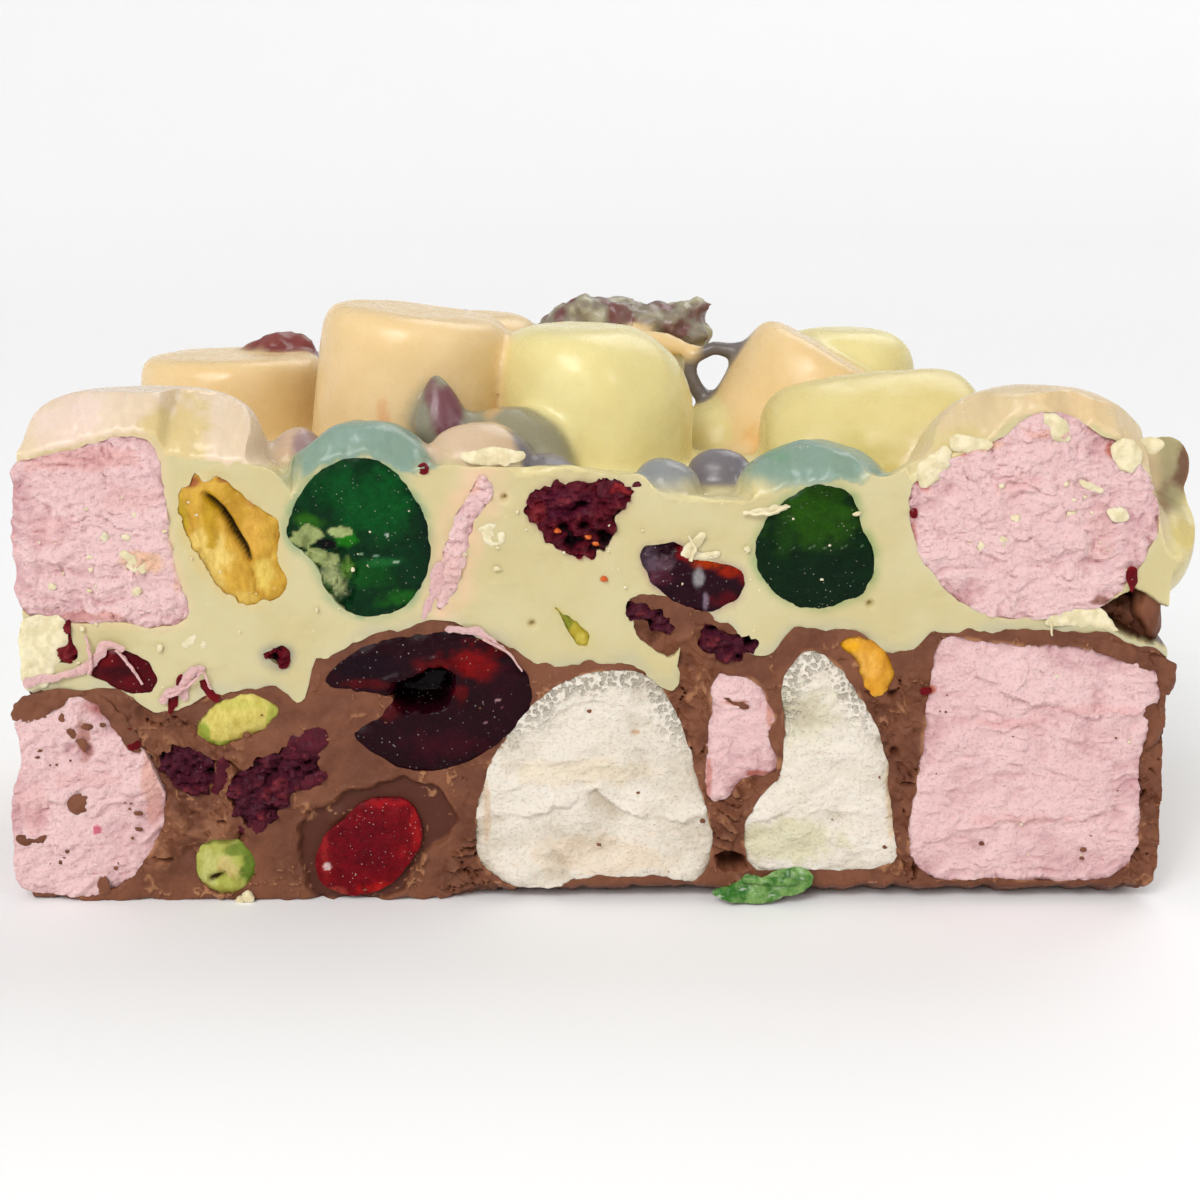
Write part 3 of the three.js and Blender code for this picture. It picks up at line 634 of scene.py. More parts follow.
def outline_distance(outline, u, v):
    """How far inside a closed outline each point is, in millimetres, below 0 outside."""
    u, v = np.asarray(u, np.float32), np.asarray(v, np.float32)
    shape, u, v = u.shape, u.ravel(), v.ravel()
    nearest = np.full(u.shape, 1e9, np.float32)
    inside = np.zeros(u.shape, bool)
    for (u0, v0), (u1, v1) in zip(outline, np.roll(outline, -1, 0)):
        du, dv = u1 - u0, v1 - v0
        t = np.clip(((u - u0) * du + (v - v0) * dv) / (du * du + dv * dv + 1e-9), 0, 1)
        nearest = np.minimum(nearest, (u - u0 - t * du) ** 2 + (v - v0 - t * dv) ** 2)
        if v0 != v1:
            inside ^= ((v0 > v) != (v1 > v)) & (u < du * (v - v0) / dv + u0)
    return (np.sqrt(nearest) * np.where(inside, 1, -1)).reshape(shape)


def line_distance(line, u, v):
    """Distance to an open line of points, and how far along it the nearest point is, 0 to 1."""
    line = np.asarray(line, float)
    lengths = np.linalg.norm(np.diff(line, axis=0), axis=1)
    starts = np.concatenate([[0], np.cumsum(lengths)])
    nearest = np.full(np.shape(u), 1e9)
    place = np.zeros(np.shape(u))
    for (u0, v0), (u1, v1), start, length in zip(line[:-1], line[1:], starts, lengths):
        du, dv = u1 - u0, v1 - v0
        t = np.clip(((u - u0) * du + (v - v0) * dv) / (length * length), 0, 1)
        away = np.hypot(u - u0 - t * du, v - v0 - t * dv)
        closer = away < nearest
        nearest = np.where(closer, away, nearest)
        place = np.where(closer, (start + t * length) / starts[-1], place)
    return nearest, place


# -------------------------------------------------------------------------------------- relief

# Heights are millimetres towards the viewer of the face. Lines and places are u, v on that face.


def steps(value, count, soft=0.3):
    """Turns a smooth field into flat plates with steep edges."""
    scaled = value * count
    whole = np.floor(scaled)
    return (whole + smoothstep(0.5 - soft, 0.5 + soft, scaled - whole)) / count


def dents(u, v, places, radius, depth):
    total = np.zeros(np.shape(u))
    for pu, pv in places:
        total -= depth * np.exp(-(((u - pu) ** 2 + (v - pv) ** 2) / radius**2))
    return total


def crease(u, v, line, width, depth):
    away, place = line_distance(line, u, v)
    ends = np.sqrt(np.clip(4 * place * (1 - place), 0, 1))
    return -depth * ends * np.exp(-((away / width) ** 2))


def fold_height(u, v, line, drop):
    """A torn shelf: proud just above the line and sunk just below it, fading at both ends."""
    line = np.asarray(line, float)
    wander = 0.4 * fractal(u / 1.5, v / 1.5, seed=51, octaves=3)
    above = v - np.interp(u, line[:, 0], line[:, 1]) + wander
    inside = smoothstep(-0.5, 2.5, u - line[0, 0]) * smoothstep(-0.5, 2.5, line[-1, 0] - u)
    lip = smoothstep(-0.42, 0.42, above)
    upper = np.exp(-np.maximum(above - 0.3, 0) / 1.5)
    lower = -0.42 * np.exp(-np.maximum(-above, 0) / 1.8)
    strength = 0.55 + 0.45 * noise(u / 2.4, v / 2.4, seed=50)
    return drop * inside * strength * (lip * upper + (1 - lip) * lower)


def torn_shelves(u, v, period, seed, slant=0.0):
    """Rows of small overhanging lips, as where foam was pulled apart by a blunt knife, -0.5 to 0.5."""
    warp = fractal(u / 2.6, v / 3.0, seed=seed, octaves=3)
    phase = (v + slant * u) / period + 1.7 * warp
    part = phase - np.floor(phase)
    return np.where(part < 0.7, part / 0.7, (1 - part) / 0.3) - 0.5


def billows(u, v, seed, octaves=3):
    """Rounded clumps with sharp valleys between them, about -0.5 to 0.5."""
    total, size = 0.0, 1.0
    for k in range(octaves):
        total = total + size * (np.sqrt(noise(u * 1.9**k, v * 1.9**k, seed=seed + k) ** 2 + 0.012) - 0.34)
        size *= 0.6
    return total


def marshmallow_relief(u, v, rim, seed, folds=(), slant=0.0, rough=1.0):
    bulge = 0.35 * (1 - np.exp(-np.maximum(rim, 0) / 0.8)) - 0.18
    warp = 0.8 * noise(u / 3, v / 3, seed=seed + 2)
    presence = smoothstep(-0.2, 0.5, noise(u / 2.6, v / 2.2, seed=seed + 5))
    shelves = 0.36 * presence * torn_shelves(u, v, 2.3, seed, slant)
    smaller = smoothstep(-0.2, 0.5, noise(u / 1.9, v / 1.8, seed=seed + 6))
    shelves = shelves + 0.22 * smaller * torn_shelves(u, v, 1.1, seed + 20, -slant)
    clumps = 0.85 * billows(u / 2.1 + warp, (v + slant * u) / 1.3 + warp, seed + 12)
    grain = 0.16 * fractal(u / 0.7, v / 0.5, seed=seed + 8, octaves=3)
    height = bulge + rough * (shelves + clumps + grain)
    for line, drop in folds:
        height = height + fold_height(u, v, line, drop)
    return height + 0.4 * fractal(u / 5, v / 4, seed=seed + 7, octaves=2)


ROUGHNESS = {  # share of the full relief
    "marshmallow_pink_upper_left": 0.6, "marshmallow_pink_upper_right": 0.66,
    "marshmallow_pink_lower_right": 0.5, "marshmallow_pink_lower_left": 0.52,
    "marshmallow_pink_small": 0.42, "marshmallow_pink_strip": 0.6,
    "marshmallow_white_wide": 0.26, "marshmallow_white_narrow": 0.34,
}  # fmt: skip
# Round lumps that stand out of a marshmallow's cut: place, radius and height.
DISCS = {
    "marshmallow_pink_upper_right": [(50.7, 47.6, 1.9, 0.7), (57.1, 45.9, 1.7, 0.6), (52.2, 51.2, 2.4, 0.5)],
}


def discs(u, v, places):
    total = 0.0
    for pu, pv, radius, height in places:
        away = np.hypot(u - pu, (v - pv) * 1.1) + 0.3 * noise(u / 1.2, v / 1.2, seed=49)
        total = total + height * smoothstep(radius, radius - 0.5, away) * (1 - 0.25 * (away / radius) ** 2)
    return total


def foaminess(u, v, rim, outline):
    """How open the bubbles are along a white marshmallow's upper edge, 0 to 1."""
    upper = smoothstep(0.5, 0.85, (v - outline[:, 1].min()) / np.ptp(outline[:, 1]))
    return upper * smoothstep(3.4, 1.2, rim + 0.8 * noise(u / 1.5, v / 1.5, seed=48))


HOLLOW_DEEP = 5.2


def cherry_relief(u, v, rim, seed, hollow=None, bite=None):
    """A low dome, with the stone's hollow or a torn bite where there is one."""
    dome = 0.4 * (1 - np.exp(-np.maximum(rim, 0) / 1.0)) - 0.12
    height = dome + 0.12 * fractal(u / 2.6, v / 2.6, seed=seed, octaves=4)
    if hollow is not None:
        inner = outline_distance(hollow, u, v) + 0.35 * fractal(u / 1.5, v / 1.5, seed=seed + 3)
        height = height - HOLLOW_DEEP * smoothstep(-0.4, 1.2, inner)
        height = height + 0.25 * np.exp(-((inner + 0.7) ** 2) / 0.5)
    if bite is not None:
        inner = outline_distance(bite, u, v) + 0.45 * fractal(u / 1.3, v / 1.3, seed=seed + 4)
        torn = 0.6 * np.abs(fractal(u / 0.8, v / 0.8, seed=seed + 6))
        height = height - smoothstep(-0.3, 0.7, inner) * (0.8 - torn)
    return height


CRANBERRY_HOLES = [(-4.4, 47.6), (-1.8, 47.8), (-3.2, 45.4), (0.6, 46.4), (-55.2, 27.5), (-48, 17)]


def cranberry_relief(u, v, rim, seed):
    leaves = steps(fractal(u / 1.9 + v / 4, v / 1.3 - u / 5, seed=seed, octaves=3), 2.4, 0.16)
    wrinkles = 0.34 * (1 - 2 * np.abs(fractal(u / 1.0, v / 0.7, seed=seed + 5, octaves=2)))
    holes = smoothstep(0.5, 0.75, noise(u / 1.2, v / 0.9, seed=seed + 3))
    dome = 0.4 * (1 - np.exp(-np.maximum(rim, 0) / 0.6)) - 0.15
    return dome + 0.6 * leaves + wrinkles - 0.7 * holes + dents(u, v, CRANBERRY_HOLES, 0.75, 1.8)


def pistachio_relief(u, v, rim, seed, creases=()):
    dome = 0.9 * (1 - np.exp(-np.maximum(rim, 0) / 1.2)) - 0.35
    height = dome + 0.16 * fractal(u / 1.6, v / 2.2, seed=seed, octaves=4)
    for line, width, depth in creases:
        height = height + crease(u, v, line, width, depth)
    return height


# ------------------------------------------------------------------------------------ cut pieces


RING_GAP = 1.1  # between the rings of a body that stays in sight
HIDDEN_RINGS = 7
BARE_RELIEF = 0.035  # as a share of the body's width
BARE = ("marshmallow_pink_upper_left", "marshmallow_pink_lower_left")  # they stand past the slab's end


def ring_walls(start, loop, loop_points, face, deep, blunt, bare=False):
    """Rings from a cap's edge back to a blunt end: extra points and faces, numbered from start."""
    u, v, edge_depth = loop_points
    middle = u.mean(), v.mean()
    turns = int(deep / RING_GAP) if bare else HIDDEN_RINGS
    points, faces, last = [], [], list(loop)
    for k in range(1, turns + 1):
        turn = k / (turns + 1) * math.pi / 2
        scale = math.cos(turn) ** (1 / blunt)
        depth = edge_depth * (1 - math.sin(turn)) + deep * math.sin(turn)
        if bare:
            uneven = 0.5 + 0.5 * fractal(u / 3.2, v / 3.2, depth / 3.2, seed=47)
            scale = scale + BARE_RELIEF * smoothstep(0.2, 2.5, depth) * uneven
        ring_u, ring_v = middle[0] + (u - middle[0]) * scale, middle[1] + (v - middle[1]) * scale
        points.append(face.world(ring_u, ring_v, depth))
        ring = list(range(start + (k - 1) * len(loop), start + k * len(loop)))
        for i in range(len(loop)):
            j = (i + 1) % len(loop)
            faces.append([last[j], last[i], ring[i], ring[j]])
        last = ring
    points.append(face.world(np.array([middle[0]]), np.array([middle[1]]), np.array([deep])))
    tip = start + turns * len(loop)
    faces += [[last[(i + 1) % len(last)], last[i], tip] for i in range(len(last))]
    return np.concatenate(points), faces


def cap_depth(face, v):
    return left_lean(v) if face is LEFT else np.zeros(np.shape(v))


def cap_of(outline, step):
    """A flat grid that fills an outline: u, v, how far in each point is, the quads and their edge."""
    low, high = outline.min(0) - 3 * step, outline.max(0) + 3 * step
    us, vs = np.arange(low[0], high[0], step), np.arange(low[1], high[1], step)
    flat, quads = flat_nets(outline_distance(outline, *np.meshgrid(us, vs, indexing="ij")), us, vs)
    u, v = flat.T
    return u, v, outline_distance(outline, u, v), quads, boundary_loop(quads)


def cut_piece(name, face, outline, deep, relief, step, blunt):
    """A piece with a relief cap on the cut face and a rounded body behind it."""
    u, v, rim, quads, loop = cap_of(outline, step)
    height = relief(u, v, rim)
    sag = 0.0
    if isinstance(height, tuple):
        height, sag = height
    depth = cap_depth(face, v) - height
    points = face.world(u, v - sag, depth)
    edge = (u[loop], v[loop] - (sag[loop] if np.ndim(sag) else 0), depth[loop])
    extra, walls = ring_walls(len(points), loop, edge, face, deep, blunt, name.removesuffix("_look") in BARE)
    every = np.concatenate([points, extra])
    piece = make_mesh(name, every, quads.tolist() + walls)
    hidden = np.zeros(len(extra))
    store(piece.data, "rim", np.concatenate([np.maximum(rim, 0), hidden]))
    store(piece.data, "height", np.concatenate([height, hidden]))
    if "white" in name:
        store(piece.data, "foam", np.concatenate([foaminess(u, v, rim, outline), hidden]))
    colour = painted(name.removesuffix("_look"), u, v, height)
    behind = np.tile(np.median(colour, axis=0), (len(extra), 1))
    store_colour(piece.data, "tint", np.concatenate([colour, behind]))
    return piece


POCKET_OVERLAP = -0.06  # the chocolate laps over the piece's edge by this
POCKET_START = -4.0  # depths of the opening in front of the face, and of the straight part's end
POCKET_EDGE = 0.3
POCKET_ROOM = 0.15  # behind the piece


def pocket(face, outline, deep, blunt, seed):
    """The room that a piece takes in the chocolate, with a slightly torn edge."""
    wide = ragged_outline(grown_outline(outline, POCKET_OVERLAP), 0.09, 1.1, seed)
    count = len(wide)
    edge = np.full(count, POCKET_EDGE)
    first = face.world(*wide.T, np.full(count, POCKET_START))
    rim = face.world(*wide.T, edge)
    loop = list(range(count, 2 * count))
    faces = [list(range(count)), *band(count)]
    points, walls = ring_walls(2 * count, loop, (*wide.T, edge), face, deep + POCKET_ROOM, blunt)
    return np.concatenate([first, rim, points]), faces + walls


# ------------------------------------------------------------------------- places on the cut front

# Folds torn in the marshmallows: a line of u, v and how far the shelf above it stands out.
FOLDS = {
    "marshmallow_white_wide": [
        ([(-15.5, 10.6), (-13.5, 11.7), (-7.7, 11.4), (-5.7, 12.7), (-3.6, 12.7), (-2.6, 14.5),
          (-0.6, 14.8), (2.5, 12.2), (5.4, 11.4), (9.5, 10.6), (14, 11.2)], 0.8),
        ([(-8.6, 22.1), (-3.5, 25.3), (-0.6, 26.1), (1.6, 26.1), (4.2, 24.1), (7.8, 22.4)], 0.5),
        ([(-8.9, 17.3), (-4.9, 18.4), (0, 17.8), (4.9, 17.1)], 0.35),
        ([(-13, 14.4), (-9, 15.6), (-5, 15.2)], 0.3),
        ([(3, 19.5), (6, 20.2), (9.8, 18.6)], 0.3),
    ],
    "marshmallow_pink_lower_right": [
        ([(42.7, 30.9), (48.8, 27.6), (52.7, 26.3), (56.2, 25.3), (60.3, 23.9), (65, 24.6),
          (68.3, 25.6)], 0.8),
        ([(40.6, 17.3), (44.9, 22), (49.1, 22.3), (52.2, 23.3), (54.5, 22.3), (60, 21)], 0.6),
        ([(39.1, 7.1), (44.9, 9.5), (49.7, 10.5), (55.1, 10.9), (58.8, 10.8), (64, 12)], 0.6),
        ([(41, 13.2), (48, 16.5), (56, 16.8), (62, 15.2)], 0.35),
        ([(42, 25.5), (47, 25), (51, 23.8)], 0.3),
    ],
    "marshmallow_pink_upper_right": [
        ([(40, 52), (45, 54), (50, 53), (55, 55.5)], 0.4),
        ([(44, 44.6), (50, 43.2), (56, 44.4), (62, 43)], 0.45),
        ([(41, 48.5), (46, 49.8), (51, 48.4)], 0.35),
    ],
    "marshmallow_pink_upper_left": [
        ([(-70, 52), (-65, 50.2), (-60, 50.8), (-54, 48.5)], 0.4),
        ([(-70, 44), (-64, 42.8), (-58, 43.2), (-52, 41.5)], 0.45),
        ([(-69, 39.4), (-63, 38.8), (-57, 38.9)], 0.3),
    ],
    "marshmallow_pink_lower_left": [
        ([(-72, 18.5), (-66, 20.8), (-60, 19.6), (-56, 17.5)], 0.5),
        ([(-72, 12.4), (-67, 13.3), (-62, 11.8), (-57, 12.5)], 0.4),
        ([(-71, 6.5), (-66, 7.5), (-60, 6)], 0.4),
    ],
    "marshmallow_white_narrow": [
        ([(20, 17), (25, 19.4), (30, 19), (35, 17)], 0.35),
        ([(18.5, 10), (24, 12.3), (30, 11.8), (36, 10)], 0.4),
        ([(24, 27), (27, 28), (31, 26.6)], 0.3),
    ],
    "marshmallow_pink_small": [([(14, 22.5), (17, 24), (20.5, 22.6)], 0.3)],
}  # fmt: skip

# The halved cherry round its stone's hollow, with milk chocolate let in from the left.
RING_OUTLINE = np.array([
    (-33.5, 28.3), (-29.5, 27.2), (-25.5, 26.3), (-27, 24), (-30, 21.5), (-24, 17.2), (-17, 17.8),
    (-12, 21), (-8.5, 25), (-9, 29.5), (-13, 33), (-18, 34.6), (-25, 33.8), (-30, 32),
])  # fmt: skip
OUTLINES = {
    "cherry_dark_hollow": RING_OUTLINE,
    "marshmallow_pink_small": np.array([
        (14.4, 28.9), (15.0, 29.3), (17.9, 29.1), (19.6, 27.7), (20.3, 26.1), (21.4, 24.1), (20.8, 21.9),
        (21.1, 20.0), (21.8, 18.4), (21.8, 17.1), (20.7, 16.4), (18.2, 16.0), (16.9, 15.1), (16.0, 13.9),
        (14.6, 12.9), (13.7, 13.3), (12.9, 16.6), (13.1, 20.4), (13.6, 24.1), (13.6, 27.4),
    ]),
    "pistachio_upper": np.array([
        (-50.4, 50.4), (-50.2, 52.1), (-49, 52.8), (-48.1, 54.2), (-47.1, 53.2), (-45.6, 53.9),
        (-43.3, 52.1), (-40.8, 50), (-38.4, 48.2), (-38.5, 46), (-38.8, 44.3), (-37.8, 42.1), (-37.7, 40.2),
        (-39, 38.8), (-40.8, 38.3), (-42.6, 37.8), (-44.2, 38.8), (-46, 40.2), (-47.5, 42.5), (-49.1, 45.6),
        (-50, 48.2),
    ]),
    "cranberry_chip": np.array([
        (-41, 31.8), (-40, 32.4), (-38.4, 32.9), (-37.6, 32.1), (-37.6, 30.9), (-38.3, 30), (-39.5, 30.6),
    ]),
    "cranberry_sliver_left": np.array([
        (-64.1, 36.4), (-63.9, 33.7), (-63.3, 31.6), (-64.8, 30.6), (-66.0, 31.4), (-65.2, 34.2),
    ]),
}  # fmt: skip
RAGGED = {  # how ragged an outline is, where that isn't its kind's usual amount
    "marshmallow_pink_strip": 0.34, "marshmallow_pink_small": 0.22, "pistachio_upper": 0.2,
    "cranberry_chip": 0.04, "cranberry_sliver_left": 0.06,
}  # fmt: skip
HOLLOW = np.array([
    (-26.1, 27.3), (-23.6, 28.4), (-21.4, 29.6), (-19.3, 30.1), (-17.6, 29.3), (-17.8, 27.5),
    (-18.7, 26.1), (-19.8, 25), (-22, 24.7), (-24.8, 24.9),
])  # fmt: skip
GREEN_BITE = np.array([
    (-35.5, 47), (-33, 44.8), (-30.6, 45.6), (-28.6, 42.6), (-30, 38.6), (-31, 36), (-36, 37),
])  # fmt: skip
DARK_BITE = np.array([(4.5, 45.6), (9.5, 45.2), (8.6, 43), (7, 41.6), (5, 41)])
KERNEL_CREASES = {
    "pistachio_upper": [([(-47.4, 51.9), (-46.2, 50.9), (-45.1, 49.8), (-44.2, 48.4), (-43.5, 46.9),
                          (-42.5, 45.2), (-41.7, 42.8)], 0.42, 2.2),
                        ([(-41.9, 43), (-41.4, 40.6), (-41.2, 38.8)], 0.2, 0.6),
                        ([(-49.4, 51), (-48.6, 46.6), (-46.8, 42)], 0.3, 0.4)],
    "pistachio_low": [([(-48.9, 2.7), (-46.4, 3.8)], 0.5, 1.3)],
}  # fmt: skip

# Milk chocolate that lies over the white at the cut front, white that runs into the milk, the smooth
# hollow round the red cherry, the areas where the milk chocolate broke into flakes, and small holes.
MILK_PATCH = np.array([
    (3.4, 38.6), (5.4, 39.4), (8.4, 38.9), (10.8, 38.4), (13.9, 35.9), (10.9, 33.7), (8.7, 31.6),
    (6.7, 32.4), (4.8, 33.9), (3.9, 36.1),
])  # fmt: skip
WHITE_TONGUE = np.array([
    (-2, 34), (-0.5, 30.9), (4.3, 30.4), (8.3, 27.2), (9.7, 28.6), (9, 30.9), (6.8, 31.6),
    (4.8, 33.5), (3.7, 36.1), (3, 40), (-2, 40),
])  # fmt: skip
RECESS = np.array([
    (-37.4, 7.8), (-35.9, 11), (-31.4, 13.4), (-26.1, 16), (-20.5, 15.2), (-17.7, 10.4),
    (-21, 6.8), (-23.1, 3.8), (-26.5, 0.2), (-34.9, 0.5),
])  # fmt: skip
RECESS_EDGE = ragged_outline(rounded_outline(anticlockwise(RECESS)), 0.45, 2.2, 72)
RECESS_DEEP, RECESS_SMOOTH = 0.85, 0.85  # millimetres, and the share of the cut's relief that it loses
FLAKY = [
    [(4.8, 35), (15, 34.5), (15.5, 17), (10.5, 18.5), (8, 30)],
    [(32.5, 29), (41, 29), (40, 3), (36.5, 3)],
    [(-21, -1), (-15.5, 10), (-14, 2), (-14, -1)],
    [(14, 16), (20, 18), (18, 8), (13.5, 8)],
    [(62, 30), (72, 30), (72, 0), (66, 0)],
    [(-56, 25), (-44, 22), (-44, 8), (-56, 4)],
]  # fmt: skip
RECESS_BUBBLE = [(-33.2, 10.6), (-32.2, 11.4)]
MILK_PITS = [(35.7, 26.7), (36.2, 19.3), (-26.2, 36.1), (-22.7, 36.4)]
WHITE_PITS = [(-11.4, 51.2), (32.6, 38.1), (-8.2, 35.6)]


# Top of the flat cut: above it the coat rolls back from the knife.
CUT_LINE = np.array([
    (-76, 56), (-67.9, 56), (-65.1, 56.9), (-60.3, 58.1), (-54.9, 59.3), (-52.5, 58.6),
    (-51.4, 56), (-47.4, 55.6), (-40.1, 55), (-37.6, 52.8), (-36.7, 51.2), (-35.5, 53.3),
    (-33.2, 55.1), (-28.4, 56.3), (-26.1, 55.8), (-22.3, 53.9), (-19, 55.1), (-11.8, 55.9),
    (-10, 53.6), (-7.7, 53.9), (0, 54.6), (4.2, 54.2), (7.7, 51.1), (9.5, 50.6), (17.9, 50.5),
    (22, 52.1), (28.5, 53.2), (31.1, 52.6), (33.2, 54.2), (36.2, 54.5), (37, 53), (39.2, 54.5),
    (45.6, 57.2), (48.6, 60.7), (52.3, 61.8), (55.8, 58.8), (58.2, 59.7), (60.9, 58.3),
    (65.3, 53.3), (66.6, 48), (68, 44), (76, 40),
])  # fmt: skip
ROLL_RADIUS = 3.6
ROLL_DEEPEST = 8.0


def over_cut(u, v):
    """How far a point of the front is above the top of the flat cut."""
    ragged = 0.28 * fractal(u / 1.3, v / 2.5, seed=45, octaves=3)
    return v - np.interp(u, CUT_LINE[:, 0], CUT_LINE[:, 1]) + ragged


def smear_lines(u, v):
    """Thin raised edges of films that the knife smeared, 0 to 1."""
    rough = 0.12 * fractal(u / 1.2, v / 1.2, seed=54, octaves=2)
    first = noise(u / 7 + 0.5 * noise(u / 2, v / 2, seed=52), v / 5, seed=53) + rough
    second = noise(u / 4, v / 6 + 0.4 * noise(u / 2, v / 2, seed=62), seed=63) + rough
    lines = np.maximum(np.exp(-((first / 0.028) ** 2)), 0.8 * np.exp(-((second / 0.035) ** 2)))
    return lines * smoothstep(-0.3, 0.15, noise(u / 4, v / 4, seed=55))


# Stacked plates of milk chocolate that the knife pushed up: outline, the plates' slope and period.
PLATES = [
    ([(-20.6, -0.5), (-19.8, 3), (-16.6, 8.5), (-15, 9.6), (-14.5, 4), (-12.5, 0.4), (-14, -1)], -0.1, 2.0),
    ([(14, 16.5), (16.5, 17.5), (17.6, 13), (16.4, 6.6), (14, 7), (14.6, 12)], 0.5, 1.6),
]


def milk_face(u, v):
    """Depth of the milk layer's cut front: smeared films, flaky plates, a smooth hollow and small holes."""
    wave = 0.22 * fractal(u / 5, v / 5, seed=31, octaves=3)
    flaky = sum(smoothstep(-1.5, 1.0, outline_distance(np.array(area), u, v)) for area in FLAKY)
    flaky = np.clip(flaky + 0.25 * smoothstep(0.1, 0.6, noise(u / 7, v / 7, seed=32)), 0, 1)
    plates = steps(fractal(u / 4.4 + 0.5 * v / 3.6, v / 5.0, seed=33, octaves=3), 2.6, 0.06)
    splinters = 0.4 * steps(fractal(u / 1.4 + v / 3, v / 1.2 - u / 3, seed=34, octaves=2), 2.5, 0.12)
    lines = np.abs(noise(u / 2.6 + 0.6 * noise(u / 1.5, v / 1.5, seed=36), v / 4.2, seed=35))
    cracks = smoothstep(0.06, 0.0, lines) * flaky * smoothstep(-0.2, 0.4, noise(u / 3, v / 3, seed=56))
    height = wave + flaky * (0.85 * plates + splinters * 0.8 - 0.25) - 1.2 * cracks
    height = height + 0.32 * smear_lines(u, v) + 0.08 * fractal(u / 0.9, v / 0.9, seed=37, octaves=3)
    for area, slope, period in PLATES:
        inner = outline_distance(np.array(area), u, v) + 0.3 * noise(u, v, seed=57)
        phase = (v + slope * u) / period + 0.25 * noise(u / 1.5, v / 1.5, seed=58)
        stack = 0.9 * (1 - (phase - np.floor(phase))) + 0.15 * fractal(u / 0.7, v / 0.5, seed=59, octaves=2)
        height = height + smoothstep(-0.1, 0.25, inner) * (stack - 0.1)
    inner = outline_distance(RECESS_EDGE, u, v) + 0.25 * noise(u / 2, v / 2, seed=38)
    sunk = smoothstep(-0.2, 0.35, inner)
    rise = np.exp(-((inner + 0.4) ** 2) / 0.08) * smoothstep(-0.3, 0.3, noise(u / 2.4, v / 2.4, seed=60))
    height = height * (1 - RECESS_SMOOTH * sunk) - RECESS_DEEP * sunk + 0.3 * rise
    height = height + dents(u, v, MILK_PITS, 0.45, 1.8) - dents(u, v, RECESS_BUBBLE, 0.9, 0.5)
    height = height - BASE_HOLE_DEEP * smoothstep(-0.2, 0.5, outline_distance(BASE_HOLE, u, v))
    lifted = 1.9 * smoothstep(-24, -12, u) + 0.3 + 0.35 * fractal(u / 2.2, 0, seed=39, octaves=3)
    under = np.maximum(lifted - v, 0)
    return -height + 1.5 * under + 0.25 * under**2


# A hole under the small pink marshmallow, and the cavity in the white chocolate at the right.
BASE_HOLE = np.array([(14.3, 5.9), (16, 6.6), (17.9, 5.8), (18.3, 4.3), (15.8, 3.9), (14.8, 4.4)])
BASE_HOLE_DEEP = 4.5
CAVITY_DEEP = 6.5
CAVITY = np.array([
    (60.1, 37.4), (61.7, 38.3), (63.6, 39.4), (64.3, 40.2), (65.8, 39.4), (67.6, 38.0), (70.5, 37.0),
    (71.5, 33.4), (68.8, 32.6), (66.1, 33.2), (63.2, 34.5), (61.4, 35.6),
])  # fmt: skip


def white_face(u, v):
    height = 0.14 * fractal(u / 6, v / 6, seed=41, octaves=3)
    scraped = smoothstep(0.15, 0.6, noise(u / 6, v / 5, seed=42))
    height = height + 0.10 * scraped * fractal(u / 2.4 + v / 2, v / 0.8, seed=43, octaves=2)
    height = height + 0.03 * fractal(u / 0.8, v / 0.8, seed=44, octaves=2)
    above = np.maximum(over_cut(u, v), 0)
    roll = np.minimum(0.2 * above + above**2 / (2 * ROLL_RADIUS), ROLL_DEEPEST)
    lip = 0.22 * smoothstep(0.0, 0.25, above) * smoothstep(1.6, 0.4, above)
    cavity = smoothstep(-0.2, 1.1, outline_distance(CAVITY, u, v) + 0.2 * noise(u, v, seed=46))
    return -height - dents(u, v, WHITE_PITS, 0.4, 1.4) + roll - lip + CAVITY_DEEP * cavity


def plain_face(face, seed, flaky):
    """The same kinds of relief for the faces that the photograph doesn't show."""

    def depth(u, v):
        height = 0.25 * fractal(u / 6, v / 6, seed=seed, octaves=3)
        if flaky:
            where = smoothstep(0.0, 0.5, noise(u / 8, v / 8, seed=seed + 1))
            plates = steps(fractal(u / 3.6, v / 4.5, seed=seed + 2, octaves=3), 3.0, 0.1)
            lines = np.abs(noise(u / 2.6, v / 4.2, seed=seed + 3))
            height = height + where * (0.7 * plates - 1.1 * smoothstep(0.075, 0.0, lines))
        else:
            height = height + 0.05 * fractal(u / 1.0, v / 1.0, seed=seed + 4, octaves=2)
        return cap_depth(face, v) - height

    return depth


# --------------------------------------------------------------------------- colours on the pieces

# Screen colours 0 to 255. Spots: place u, v, half sizes, colour and strength.
BASES = {
    "cherry_green_left": (5, 56, 24), "cherry_green_right": (8, 44, 16), "cherry_dark_hollow": (42, 6, 18),
    "cherry_dark_half": (46, 6, 24), "cherry_dark_left": (98, 8, 20), "cherry_left_end": (10, 60, 24),
    "cherry_back_dark": (52, 8, 24), "cherry_back_red": (120, 8, 22), "cherry_red_low": (122, 8, 20),
    "pistachio_upper": (208, 164, 58),
    "pistachio_mid": (214, 200, 110), "pistachio_low": (176, 180, 88), "pistachio_right": (222, 160, 44),
    "pistachio_sliver": (176, 158, 44), "cranberry_upper": (96, 16, 34), "cranberry_chip": (112, 10, 30),
    "cranberry_sliver_left": (120, 14, 28),
}  # fmt: skip
KIND_BASES = {  # a marshmallow's own colour comes from its material
    "cherry": (10, 66, 26), "cranberry": (82, 24, 42), "pistachio": (206, 170, 66),
    "marshmallow": (255, 255, 255),
}  # fmt: skip
